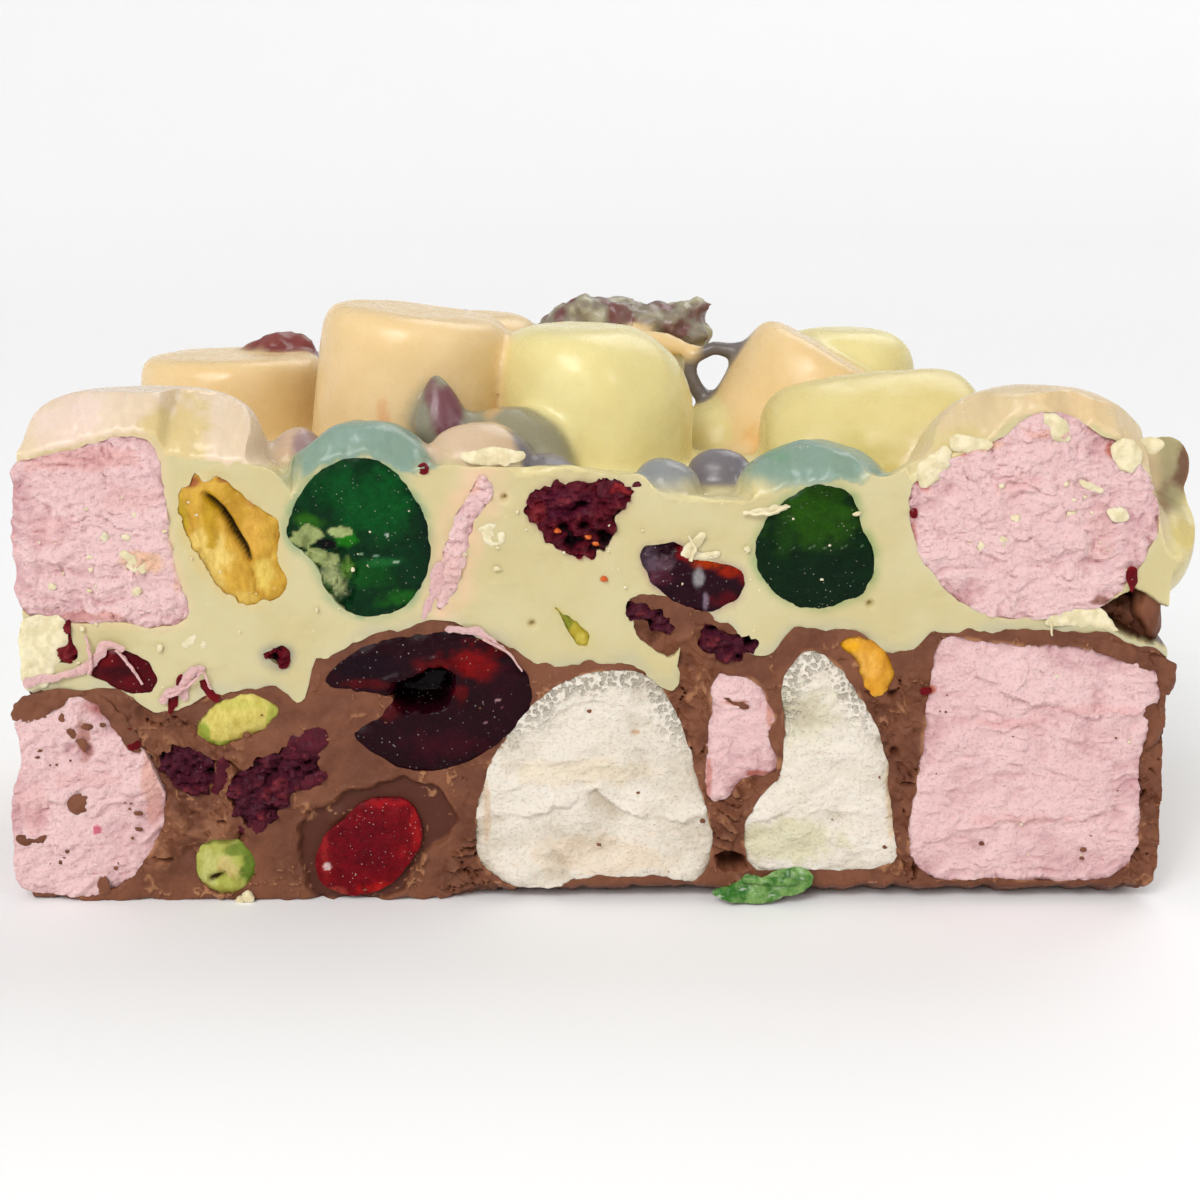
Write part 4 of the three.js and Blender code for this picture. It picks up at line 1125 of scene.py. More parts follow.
# Painted glints: pale dots in a wavering row across the green cherry on the right, where its two tones meet.
SEAM_GLINTS = [
    (21.4 + 0.62 * k + 0.2 * math.sin(5.3 * k), 45.1 + 0.16 * math.sin(2.1 * k),
     0.12 + 0.07 * math.sin(3.7 * k), 0.1, (110, 140, 104), 1)
    for k in range(19)
]  # fmt: skip
SPOTS = {
    "marshmallow_pink_upper_left": [
        # The first spot, a slightly darker band along the top, is painted shadow.
        (-62, 55.8, 9, 1.6, (246, 222, 218), 0.7), (-54.8, 43.4, 2.4, 1.4, (255, 246, 206), 0.9),
        (-50.7, 48, 0.8, 8, (255, 246, 218), 0.8), (-62, 36.6, 5, 0.7, (238, 208, 200), 0.8),
        (-66, 47, 3, 2.2, (250, 238, 238), 0.7), (-56, 51, 3.6, 1.6, (250, 240, 238), 0.7),
    ],
    "marshmallow_pink_upper_right": [
        (38.2, 54.2, 1.3, 2.0, (232, 128, 120), 0.8), (41.6, 56.8, 2.6, 0.8, (240, 150, 130), 0.8),
        (60.6, 57, 1, 1.2, (222, 140, 110), 0.8), (63.8, 41.4, 0.6, 1.2, (188, 72, 48), 0.9),
        (60.4, 38.6, 1.6, 0.6, (150, 104, 80), 0.8), (45.6, 57.6, 3, 0.9, (255, 240, 206), 0.9),
        (53, 58.8, 3, 0.7, (252, 228, 212), 0.8), (37.4, 45, 0.5, 3, (226, 170, 150), 0.7),
        (49, 53, 3, 1.6, (250, 238, 238), 0.7), (60, 47, 2, 4, (250, 240, 238), 0.7),
    ],
    "marshmallow_pink_lower_left": [
        (-63.2, 20.8, 1, 2.4, (176, 118, 96), 0.7), (-62.2, 9.5, 0.55, 0.5, (226, 140, 168), 1),
        (-55.2, 15, 1.2, 6, (240, 216, 200), 0.8), (-60, 25, 3, 1.2, (222, 160, 150), 0.8),
        (-70, 12, 2, 4, (250, 236, 236), 0.7), (-63, 16, 4, 1.2, (250, 238, 238), 0.7),
    ],
    "marshmallow_pink_lower_right": [
        (40.2, 27.4, 1, 0.6, (206, 130, 84), 0.9), (38.8, 30.4, 0.9, 0.7, (214, 150, 104), 0.8),
        (67.8, 20, 0.6, 4, (196, 132, 92), 0.7), (50, 23.4, 6, 0.8, (248, 230, 230), 0.7),
        (52, 11, 7, 0.7, (249, 234, 234), 0.7), (60, 25, 6, 0.7, (248, 230, 230), 0.7),
    ],
    "marshmallow_pink_small": [
        (16.6, 25.9, 1.9, 0.36, (198, 122, 84), 0.95), (20.8, 24, 0.5, 2.4, (230, 186, 160), 0.7),
        (13.4, 16, 0.4, 3, (226, 170, 150), 0.7), (19.6, 16.6, 2, 0.5, (196, 120, 84), 0.8),
    ],
    "marshmallow_pink_strip": [
        (-15.4, 53.6, 1.6, 2.2, (255, 238, 214), 0.8), (-19, 42, 2.4, 4, (250, 244, 238), 0.8),
        (-16.6, 52.4, 0.7, 0.5, (240, 150, 120), 0.8), (-20.4, 38.4, 0.8, 0.5, (224, 120, 100), 0.8),
    ],
    "marshmallow_white_wide": [
        (-12.4, 20, 0.7, 0.25, (206, 160, 124), 0.8), (4.4, 22, 0.6, 0.3, (224, 184, 150), 0.8),
        (-3, 17, 9, 2, (255, 250, 238), 0.8), (0, 6, 9, 3, (255, 246, 236), 0.8),
        (-14, 12, 0.5, 4, (236, 210, 184), 0.6),
    ],
    "marshmallow_white_narrow": [
        (24, 24, 6, 4, (246, 248, 236), 0.9), (23, 8, 7, 3, (238, 240, 218), 0.9),
        (36, 14, 0.8, 5, (250, 230, 200), 0.8),
    ],
    "cherry_green_left": [
        (-27, 50.5, 6.5, 5, (4, 96, 34), 0.9), (-31.8, 52.8, 4, 3.4, (4, 88, 32), 0.7),
        (-20.2, 48, 2.4, 9, (8, 42, 26), 0.9), (-22.6, 44, 3, 3, (4, 56, 26), 0.8),
        (-27.8, 41.8, 3.4, 2.2, (16, 96, 26), 0.8), (-24, 38.9, 3.2, 1.2, (36, 122, 30), 0.8),
        (-25.8, 43.4, 2.6, 0.6, (40, 130, 60), 0.6), (-30.2, 46, 1.5, 0.9, (34, 142, 14), 0.9),
        (-34.6, 48.2, 2.4, 1.2, (60, 130, 20), 0.7), (-35.2, 46.6, 2.4, 1.1, (188, 202, 128), 1),
        (-31.4, 47.1, 1.5, 0.6, (190, 206, 134), 1), (-33.4, 43.8, 2.6, 1.3, (186, 200, 128), 1),
        (-32.2, 41, 1.9, 2.6, (194, 204, 140), 0.95), (-30.6, 42.4, 1, 1.6, (110, 160, 60), 0.8),
        # The near black spot at the end of this row is painted shade in a hole of the torn bite.
        (-32.8, 39.4, 0.8, 1.9, (14, 84, 22), 0.95), (-32.9, 45.5, 1.2, 0.8, (3, 10, 4), 1),
        # These last four spots are painted glints on the wet cut.
        (-25.4, 46.7, 0.22, 0.2, (225, 240, 225), 1), (-26.9, 44.1, 0.5, 0.12, (150, 190, 160), 0.9),
        (-24.4, 43.4, 0.3, 0.12, (180, 215, 185), 1), (-28.6, 44.4, 0.3, 0.16, (150, 190, 150), 1),
    ],
    "cherry_green_right": [
        (25.7, 48.8, 5.6, 4.6, (44, 94, 8), 0.95), (27.6, 52.2, 4, 1.8, (34, 74, 8), 0.9),
        (22, 46.4, 1.6, 3, (30, 74, 14), 0.7), (26.5, 40.2, 6.4, 4.8, (10, 42, 20), 0.9),
        *SEAM_GLINTS,
    ],
    "cherry_dark_hollow": [
        (-15.2, 30.8, 3.4, 2.4, (146, 8, 12), 0.95), (-19.6, 30.6, 3, 1.3, (118, 10, 14), 0.9),
        (-27.5, 30.4, 4.6, 2.2, (30, 6, 20), 0.9), (-28, 28.2, 3.6, 0.7, (104, 10, 16), 0.7),
        (-11.4, 27, 2.2, 4.4, (52, 6, 22), 0.8), (-19, 20.4, 6, 2.2, (66, 6, 26), 0.8),
        (-25.6, 24.6, 1.6, 1.2, (100, 16, 24), 0.7), (-16.8, 26.9, 1, 1.6, (110, 6, 12), 0.8),
        # These last four spots are painted glints on the wet cut.
        (-12.5, 26.2, 0.35, 0.12, (205, 160, 165), 1), (-14, 23.3, 0.3, 0.1, (170, 120, 130), 1),
        (-15.2, 23.9, 0.2, 0.12, (170, 120, 130), 1), (-12, 25.2, 0.2, 0.2, (150, 90, 100), 1),
    ],
    "cherry_dark_left": [
        (-60.6, 31.4, 2.4, 1.2, (128, 8, 20), 0.9), (-58.4, 29.6, 2, 1, (70, 4, 16), 0.9),
        # The last spot, a pale streak along the top rim, is a painted highlight.
        (-57, 28.4, 1.4, 1, (120, 16, 26), 0.7), (-59.6, 32.4, 1.2, 0.3, (200, 120, 130), 0.8),
    ],
    "cherry_dark_half": [
        (5.7, 43.2, 1.8, 2.6, (132, 104, 120), 0.7), (8, 43.2, 1.3, 1.2, (128, 92, 106), 0.6),
        (13.2, 43.4, 2.8, 1.1, (196, 62, 6), 0.95), (15.6, 42.2, 1.8, 0.8, (178, 40, 8), 0.9),
        (10.2, 44.4, 1.3, 1.2, (150, 20, 18), 0.8), (18.2, 41, 1.6, 1.4, (136, 12, 24), 0.9),
        (15.6, 38.6, 2.6, 1.2, (104, 8, 20), 0.8), (11.9, 41.3, 0.8, 1.4, (178, 172, 172), 0.95),
        (12.7, 38.6, 0.35, 1.2, (150, 128, 146), 0.9),
        (7.4, 41.4, 2.4, 1.0, (92, 30, 50), 0.7),
    ],
    "cherry_red_low": [
        (-29.5, 7.5, 4.4, 4, (108, 4, 22), 0.8), (-22.9, 9.2, 0.7, 3, (176, 26, 28), 0.8),
        (-26.6, 12.8, 3, 0.6, (172, 24, 30), 0.8), (-27.2, 1.6, 3.6, 1.0, (186, 26, 22), 0.85),
        (-34.2, 6, 0.6, 3, (160, 34, 36), 0.8), (-32.6, 1.2, 1.2, 0.8, (160, 60, 50), 0.8),
        (-33.9, 4.7, 0.5, 0.42, (222, 190, 185), 1), (-24.4, 6.6, 0.9, 1.8, (150, 18, 26), 0.7),
    ],
    "pistachio_upper": [
        (-47.2, 43.4, 3, 4.4, (232, 204, 118), 0.9), (-43.6, 50.4, 1.7, 3.4, (186, 140, 30), 0.9),
        (-41.4, 46.6, 1.3, 2.6, (214, 166, 66), 0.9), (-40.4, 42.2, 1.6, 2, (224, 196, 96), 0.9),
        (-46.4, 48.6, 1.0, 3.4, (188, 148, 8), 0.9), (-48.5, 53, 1.1, 1, (158, 84, 40), 0.95),
        (-44.4, 53.4, 1.3, 0.6, (150, 88, 38), 0.9), (-41.4, 51.6, 0.8, 1.8, (166, 102, 44), 0.8),
        (-49.8, 48.6, 0.9, 3, (176, 148, 20), 0.8), (-43.4, 38.6, 2, 1.2, (218, 184, 88), 0.9),
    ],
    "pistachio_mid": [
        (-44.6, 20.1, 4.6, 0.8, (128, 150, 40), 0.9), (-48.6, 21.6, 0.8, 2.4, (140, 158, 46), 0.9),
        (-40, 23.6, 0.8, 2.8, (168, 176, 70), 0.8), (-44, 25.6, 4, 0.7, (196, 190, 90), 0.7),
    ],
    "pistachio_low": [
        (-46.4, 4.6, 1.6, 1.4, (206, 188, 124), 0.9), (-48.6, 4.4, 1.2, 2.4, (192, 194, 118), 0.9),
        (-43.4, 4.6, 1.3, 2.6, (96, 124, 30), 0.95), (-44.6, 7, 1.8, 0.9, (110, 132, 36), 0.9),
        (-46, 1, 2.4, 0.7, (168, 170, 76), 0.8),
    ],
    "pistachio_right": [
        (29.9, 33, 1.6, 1, (238, 176, 16), 0.9), (32.2, 30.4, 2, 2, (228, 172, 74), 0.9),
        (31.8, 27.4, 1.6, 0.9, (214, 142, 18), 0.9),
    ],
    "pistachio_sliver": [
        (-4, 36, 0.8, 1.6, (122, 130, 30), 0.9), (-2.2, 33.6, 1, 1, (206, 190, 80), 0.9),
    ],
    "cranberry_upper": [
        (-4.6, 50.4, 3.6, 2.2, (88, 18, 44), 0.9), (2.4, 52.6, 3, 1.0, (158, 40, 44), 0.9),
        (-7.4, 49.8, 1.1, 1.4, (128, 28, 36), 0.8), (-2.6, 43.6, 3, 1, (112, 10, 34), 0.8),
    ],
}  # fmt: skip


def painted(name, u, v, height):
    """Linear colours over a piece: its base, darker in its hollows as painted shade, with the spots laid over
    it; a few spots are painted glints and painted shade.
    """
    kind = name.split("_")[0]
    base = BASES.get(name, KIND_BASES[kind])
    colour = np.tile(np.array(linear(*base)[:3]), (len(u), 1))
    wander = 0.28 * fractal(u / 1.3, v / 1.3, seed=93, octaves=3)
    for pu, pv, ru, rv, tint, strength in SPOTS.get(name, ()):
        reach = np.hypot((u - pu) / ru, (v - pv) / rv)
        if strength < 1:
            soft = 0.4 if kind == "cherry" else 0.65
            weight = strength * smoothstep(1.2, soft, reach + wander)
        else:
            weight = smoothstep(1.08, 0.9, reach + 1.5 * wander * min(1.0, ru, rv))
        colour = blend_tint(colour, linear(*tint), weight)
    if kind == "cranberry":
        # Painted light on a cranberry: lighter red on its raised leaves as painted highlight, near black in
        # its hollows and holes as painted shade.
        colour = blend_tint(colour, linear(150, 52, 56), 0.5 * smoothstep(0.45, 1.0, height))
        colour = blend_tint(colour, linear(24, 5, 12), smoothstep(-0.25, -1.0, height))
    if kind == "pistachio":
        # Painted shade: near black down in the kernel's creases.
        colour = blend_tint(colour, linear(64, 42, 6), smoothstep(-0.35, -0.8, height))
    if name == "cherry_dark_hollow":
        # Painted shade: near black deep in the stone's hollow.
        colour = blend_tint(colour, linear(20, 3, 5), smoothstep(-0.9, -2.4, height))
    return colour


# -------------------------------------------------------------------------------- building it all

FINE = 0.24
MIDDLE = 0.42
KINDS = {  # blunt end, raggedness of the outline, its scale
    "marshmallow": (2.4, 0.16, 1.6),
    "cherry": (1.4, 0.12, 1.4),
    "cranberry": (1.4, 0.48, 0.9),
    "pistachio": (1.4, 0.14, 0.9),
}


def face_of(name):
    if "left_end" in name:
        return LEFT
    return BACK if "_back_" in name else FRONT


def own_folds(outline, seed):
    """Three or four shelves across a marshmallow, for those without folds of their own."""
    low, high = outline.min(0), outline.max(0)
    width, height = high - low
    folds = []
    for k in range(4):
        level = low[1] + height * (0.2 + 0.2 * k)
        us = np.linspace(low[0] + width * 0.08, high[0] - width * 0.08, 6)
        arch = 0.9 * np.sin((us - low[0]) / width * math.pi)
        vs = level + 1.6 * noise(us / 6, k * 3.0, seed=seed + k) + arch
        folds.append((list(zip(us, vs)), 0.3 + 0.15 * (k % 2)))
    return folds


def relief_for(name, outline, seed):
    kind = name.split("_")[0]

    def relief(u, v, rim):
        if kind == "marshmallow":
            folds = FOLDS.get(name) or own_folds(outline, seed)
            slant = {"marshmallow_pink_upper_left": 0.25, "marshmallow_pink_lower_left": -0.3}.get(name, 0.1)
            height = marshmallow_relief(u, v, rim, seed, folds, slant, ROUGHNESS.get(name, 0.45))
            height = height + discs(u, v, DISCS.get(name, ()))
            return height, 0.4 * np.maximum(height - 0.35, 0) * smoothstep(0, 1.5, rim)
        if kind == "cherry":
            hollow = HOLLOW if name == "cherry_dark_hollow" else None
            bite = {"cherry_green_left": GREEN_BITE, "cherry_dark_half": DARK_BITE}.get(name)
            return cherry_relief(u, v, rim, seed, hollow, bite)
        if kind == "cranberry":
            return cranberry_relief(u, v, rim, seed)
        return pistachio_relief(u, v, rim, seed, KERNEL_CREASES.get(name, ()))

    return relief


def build_cut_pieces():
    """Every inclusion that a cut face shows, and the pockets that they leave."""
    pieces, pockets = {}, []
    names = [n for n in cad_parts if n.split("_")[0] in KINDS and n != "cherry_green_scrap"]
    for seed, name in enumerate(sorted(names)):
        face = face_of(name)
        blunt, rough, scale = KINDS[name.split("_")[0]]
        corners, deep = node_outline(name, face)
        corners = anticlockwise(OUTLINES.get(name, corners))
        outline = ragged_outline(rounded_outline(corners), RAGGED.get(name, rough), scale, 100 + seed)
        step = FINE if face is FRONT else MIDDLE
        relief = relief_for(name, outline, 200 + 10 * seed)
        pieces[name] = cut_piece(name + "_look", face, outline, deep, relief, step, blunt)
        low, high = outline.min(0), outline.max(0)
        pockets.append((face, low, high, pocket(face, outline, deep, blunt, 100 + seed)))
    return pieces, pockets


def pocket_cutters(pockets):
    """The pockets as a few objects, with no two that touch in the same one."""
    groups = []
    for face, low, high, mesh in pockets:
        for group in groups:
            if all(f is not face or (low > h + 1).any() or (l > high + 1).any() for f, l, h, _ in group):
                group.append((face, low, high, mesh))
                break
        else:
            groups.append([(face, low, high, mesh)])
    return [make_mesh("pockets", *joined([g[3] for g in group])) for group in groups]


def prism(outline, start, stop):
    """A block between two depths behind the cut front, with the given outline."""
    count = len(outline)
    near = FRONT.world(*outline.T, np.full(count, start))
    far = FRONT.world(*outline.T, np.full(count, stop))
    faces = [list(range(count)), list(range(2 * count - 1, count - 1, -1)), *band(count)]
    return make_mesh("prism", np.concatenate([near, far]), faces)


ROOM_BASE = -5.0


def milk_room():
    """Everything under the white chocolate, with the tongues where the two run into each other."""
    xs, ys = np.arange(-78, 78.1, 0.5), np.concatenate([np.arange(-5, 3, 1.0), np.arange(3, 76, 2.0)])
    x, y = np.meshgrid(xs, ys, indexing="ij")
    height = milk_top(x, np.maximum(y, 0)) + 0.30 * fractal(x / 1.6, y / 4, seed=61, octaves=3)
    base = np.stack([xs[[0, -1, -1, 0]], ys[[0, 0, -1, -1]], np.full(4, ROOM_BASE)], axis=1)
    room = closed_block("milk_room", np.stack([x, y, height], axis=-1), base)
    for outline, stop, operation in ((MILK_PATCH, 3.5, "UNION"), (WHITE_TONGUE, 3.0, "DIFFERENCE")):
        shape = ragged_outline(rounded_outline(anticlockwise(outline)), 0.18, 1.2, 71)
        cutter = prism(shape, -4.5, stop)
        boolean(room, cutter, operation)
        remove(cutter)
    return room


def cut_layer(whole, name, faces, room, keep, cutters):
    layer = copy_of(whole, name)
    for face, relief, step in faces:
        block = relief_block(face, relief, step)
        boolean(layer, block, "INTERSECT")
        remove(block)
    boolean(layer, room, keep)
    for cutter in cutters:
        boolean(layer, cutter, "DIFFERENCE")
    return layer


def build_layers(cutters):
    whole, room = envelope(), milk_room()
    coarse = 0.5
    fine = 0.33
    milk_faces = [
        (FRONT, milk_face, FINE + 0.03), (BACK, plain_face(BACK, 81, True), coarse),
        (LEFT, plain_face(LEFT, 82, True), coarse),
    ]  # fmt: skip
    white_faces = [
        (FRONT, white_face, fine), (BACK, plain_face(BACK, 83, False), coarse * 1.3),
        (LEFT, plain_face(LEFT, 84, False), coarse * 1.3),
    ]  # fmt: skip
    milk = cut_layer(whole, "milk_chocolate_body", milk_faces, room, "INTERSECT", cutters)
    white = cut_layer(whole, "white_chocolate_skin", white_faces, room, "DIFFERENCE", cutters)
    for scrap in (whole, room, *cutters):
        remove(scrap)
    return milk, white


# ------------------------------------------------------------------------------- loose bits on it


def chip(outline, lift, thick, seed, tilt=(0.0, 0.0), pitch=0.2, rough=0.2):
    """A thin closed flake on the cut front; lift is how far its underside stands out, tilt its slope."""
    outline = anticlockwise(np.array(outline, float))
    rough = rough * min(1.0, np.ptp(outline, axis=0).max() / 5)
    outline = ragged_outline(rounded_outline(outline), rough, 0.8, seed)
    u, v, rim, quads, loop = cap_of(outline, pitch)
    rim = np.maximum(rim, 0)
    base = lift + tilt[0] * (u - u.mean()) + tilt[1] * (v - v.mean())
    base = base + 0.25 * fractal(u / 1.8, v / 1.8, seed=seed, octaves=2)
    body = thick * (0.25 + 0.75 * (1 - np.exp(-rim / 0.35)))
    body = body + 0.14 * thick * fractal(u / 0.6, v / 0.6, seed=seed + 1)
    points = np.concatenate([FRONT.world(u, v, -(base + body)), FRONT.world(u, v, -base)])
    count = len(u)
    faces = quads.tolist() + (quads[:, ::-1] + count).tolist()
    for i in range(len(loop)):
        a, b = loop[i], loop[(i + 1) % len(loop)]
        faces.append([b, a, a + count, b + count])
    return points, faces


def chips(table, seed):
    return [chip(line, lift, thick, seed + k, *tilt) for k, (line, lift, thick, *tilt) in enumerate(table)]


def threads(lines, seed):
    return [thread(line, seed + k) for k, line in enumerate(lines)]


def thread(line, seed, sides=7, pitch=0.3):
    """A bent closed thread through points x, y, z with a radius each."""
    line = np.array(line, float)
    lengths = np.concatenate([[0], np.cumsum(np.linalg.norm(np.diff(line[:, :3], axis=0), axis=1))])
    stops = np.linspace(0, lengths[-1], max(4, int(lengths[-1] / pitch)))
    x, y, z, radius = (np.interp(stops, lengths, column) for column in line.T)
    middle = np.stack([x, y, z], axis=1)
    for _ in range(2):
        middle[1:-1] = (middle[:-2] + 2 * middle[1:-1] + middle[2:]) / 4
    middle += 0.12 * np.stack([noise(stops * 1.3, k * 5.0, seed=seed) for k in range(3)], axis=1)
    ahead = np.gradient(middle, axis=0)
    ahead /= np.linalg.norm(ahead, axis=1)[:, None]
    side = np.cross(ahead, (0.31, 0.93, 0.17))
    side /= np.linalg.norm(side, axis=1)[:, None]
    up = np.cross(side, ahead)
    turns = np.arange(sides) / sides * 2 * math.pi
    swell = radius[:, None] * (1 + 0.35 * noise(stops[:, None] * 2.2, turns[None, :], seed=seed + 1))
    ring = side[:, None] * np.cos(turns)[None, :, None] + up[:, None] * np.sin(turns)[None, :, None]
    points = (middle[:, None] + ring * swell[..., None]).reshape(-1, 3)
    count = len(stops)
    faces = []
    for i in range(count - 1):
        for k in range(sides):
            j = (k + 1) % sides
            faces.append([i * sides + k, (i + 1) * sides + k, (i + 1) * sides + j, i * sides + j])
    first, last = len(points), len(points) + 1
    tips = np.stack([middle[0] - 0.4 * radius[0] * ahead[0], middle[-1] + 0.4 * radius[-1] * ahead[-1]])
    for k in range(sides):
        j = (k + 1) % sides
        faces.append([first, k, j])
        faces.append([last, (count - 1) * sides + j, (count - 1) * sides + k])
    return np.concatenate([points, tips]), faces


def ball_mesh(parts=4):
    """Points and quads of a ball of radius 1, made from a cube's six sides."""
    known, points, faces = {}, [], []

    def corner(place):
        key = tuple(np.round(place, 6))
        if key not in known:
            known[key] = len(points)
            points.append(np.array(place) / np.linalg.norm(place))
        return known[key]

    steps_across = np.linspace(-1, 1, parts + 1)
    for axis in range(3):
        for sign in (1, -1):
            for a0, a1 in zip(steps_across[:-1], steps_across[1:]):
                for b0, b1 in zip(steps_across[:-1], steps_across[1:]):
                    ring = [(a0, b0), (a1, b0), (a1, b1), (a0, b1)][::sign]
                    faces.append([corner(np.roll((sign, a, b), axis)) for a, b in ring])
    return np.array(points), faces


BALL = ball_mesh()


def crumb(place, size, seed, ball=None):
    """A small broken lump; size is its three half widths."""
    ball, faces = ball or BALL
    shift = seed * 3.7
    swell = 1 + 0.36 * fractal(*(ball * 1.3 + shift).T, seed=seed % 50, octaves=2)
    return np.array(place) + ball * swell[:, None] * np.array(size), faces


def scattered(rng, count, region, size_range):
    """Crumbs spread over a part of the cut front, mostly small."""
    low, high = np.array(region).min(0), np.array(region).max(0)
    bits = []
    while len(bits) < count:
        u, v = rng.uniform(low, high)
        if outline_distance(np.array(region), np.array([u]), np.array([v]))[0] < 0.3:
            continue
        size = size_range[0] + (size_range[1] - size_range[0]) * rng.random() ** 2.5
        flatness = rng.uniform(0.3, 0.6)
        widths = (size * rng.uniform(0.7, 1.3), size * flatness, size * rng.uniform(0.6, 1.1))
        bits.append(crumb((u, -0.25 - 0.4 * widths[1], v), widths, int(rng.integers(1000))))
    return bits


# Chips and films on the cut front: outline, how far it stands out, thickness and, where it has one, tilt.
WHITE_CHIPS = [
    ([(-69.8, 36.1), (-65.2, 36.5), (-64.4, 33.7), (-65.6, 31.1), (-67.6, 27.8), (-69.9, 27.4),
      (-70.3, 31.1)], 0.1, 0.35),
    ([(9.7, 44.4), (12, 47), (12.8, 46.6), (11.6, 44.6), (14.2, 44.6), (14, 43.8), (11, 43.4)],
     0.1, 0.35, (0, 0.1)),
    ([(17.4, 49.4), (20, 50.2), (22.4, 50.4), (21.8, 49.4), (19.4, 49)], 0.1, 0.5, (0.1, 0)),
    ([(52.2, 61.2), (54.8, 60.6), (55.4, 58.2), (53.6, 58)], 0.1, 0.4),
    ([(37.8, 55.2), (40.8, 57.4), (41.6, 55.6), (40.2, 53.2), (38.2, 52.6)], 0.0, 0.5),
    ([(41.2, 58.4), (43.6, 58.6), (46.4, 57.6), (44.6, 56.6), (41.8, 56.8)], 0.1, 0.35),
    ([(60.4, 57.4), (62.6, 58.2), (64.2, 56.4), (63.2, 54.2), (61.4, 54.8)], 0.2, 0.5),
    ([(57.0, 53.4), (59.6, 52.4), (59.4, 51.8), (57.2, 52.6)], 0.4, 0.3),
    ([(60.4, 49.6), (62.4, 50), (63, 48.6), (61.4, 48.2)], 0.2, 0.3),
    ([(64.4, 57.6), (66.2, 58.0), (67.8, 57.0), (66.4, 56.0), (64.6, 56.2)], -3.0, 0.5),
    ([(54.4, 36.6), (60, 37.8), (61.4, 36.4), (62.6, 34.8), (58, 35.4), (54, 35.4)], 0.1, 0.4),
    ([(-14.6, 47.2), (-12.6, 48), (-11.2, 46.4), (-13, 45.2)], 0.0, 0.3),
    ([(3.6, 49), (5.8, 49.4), (7, 48.4), (5, 47.6)], 0.0, 0.25),
    ([(-51.2, 33.6), (-48.8, 34.4), (-47.6, 33), (-49.8, 32)], 0.0, 0.25),
    ([(-57.2, 44.8), (-54.8, 43.8), (-53.8, 42.6), (-55.2, 42), (-57.4, 43.4)], 0.3, 0.35),
    ([(-16.4, 56.2), (-12.6, 57.2), (-8.8, 56.4), (-10.2, 55.2), (-14.4, 55)], -0.3, 0.35),
]  # fmt: skip
MILK_CHIPS = [
    ([(-72.1, 24.2), (-70.1, 26.7), (-65.8, 27.6), (-62.4, 27.1), (-64.7, 26.1), (-68.5, 23.6),
      (-70.9, 23.3)], 0.3, 0.4, (0, 0.05)),
    ([(-61.6, 27), (-59.4, 25.6), (-57, 22.4), (-56.2, 19.6), (-57.6, 19.8), (-60.2, 23.4)], 0.1, 0.4),
    ([(-65.7, 24.6), (-64.3, 22.3), (-62.8, 20.5), (-63.1, 19.5), (-64.9, 21.6), (-66.1, 23.3)], 0.2, 0.35),
    ([(-72.4, 8.7), (-70.5, 8.6), (-68.8, 8.8), (-67.1, 10.6), (-66.3, 12.3), (-66.0, 10.6), (-68.2, 9.0),
      (-69.5, 7.6), (-71.8, 7.6)], 0.2, 0.4),
    ([(-65.8, 12.8), (-64.6, 14.0), (-62.8, 13.8), (-63, 12.4), (-64.8, 11.2)], 0.2, 0.45),
    ([(-57, 4.8), (-55.4, 5), (-54.4, 4.2), (-56, 3.6)], 0.3, 0.3),
    ([(-62.8, 2.6), (-61.6, 3.4), (-61, 1.4), (-62.4, 1)], 0.3, 0.3),
    ([(14.8, 26.6), (16.2, 26.4), (18.2, 25.4), (17.6, 25.0), (15.6, 25.9)], 0.3, 0.3),
    ([(57, 34.4), (62, 33.6), (66, 32), (68.4, 30.2), (67.4, 29.6), (63, 31.2), (58, 33.2)], 0.0, 0.45),
    ([(66.4, 25), (68, 25.6), (69, 23.4), (68.2, 20.4), (66.9, 20), (67, 22)], 0.0, 0.6),
    ([(66.6, 31.6), (69.6, 30.8), (70.0, 28.6), (69.2, 26.6), (68, 27.8), (67.6, 30)], 0.0, 0.6),
]  # fmt: skip
SLIVERS = [
    ([(-49.6, 29.4), (-48.9, 29.6), (-47.7, 28.1), (-46.3, 26.5), (-46.9, 25.8), (-48.4, 27.4)], 0.1, 0.3),
    ([(-51.1, 29.4), (-50.6, 29.1), (-51.2, 27.4), (-52.0, 24.6), (-52.8, 24.6), (-52.2, 27.1)], 0.1, 0.3),
    ([(-58.6, 22), (-57.4, 22.6), (-56.2, 20.4), (-57.4, 19.8)], 0.3, 0.3),
    ([(-21.7, 54.8), (-20.9, 55.4), (-20.3, 54.9), (-20.5, 54), (-21.4, 54)], 0.1, 0.2),
    ([(63.2, 42.4), (64.3, 42.6), (64.5, 40.8), (63.8, 39.6)], 0.2, 0.3),
    ([(38.8, 27.6), (40.2, 27.9), (40.4, 27.1), (39.2, 26.8)], 0.2, 0.25),
    ([(36.9, 49.6), (37.7, 49.9), (37.8, 48.8), (37.1, 48.7)], 0.1, 0.25),
]  # fmt: skip
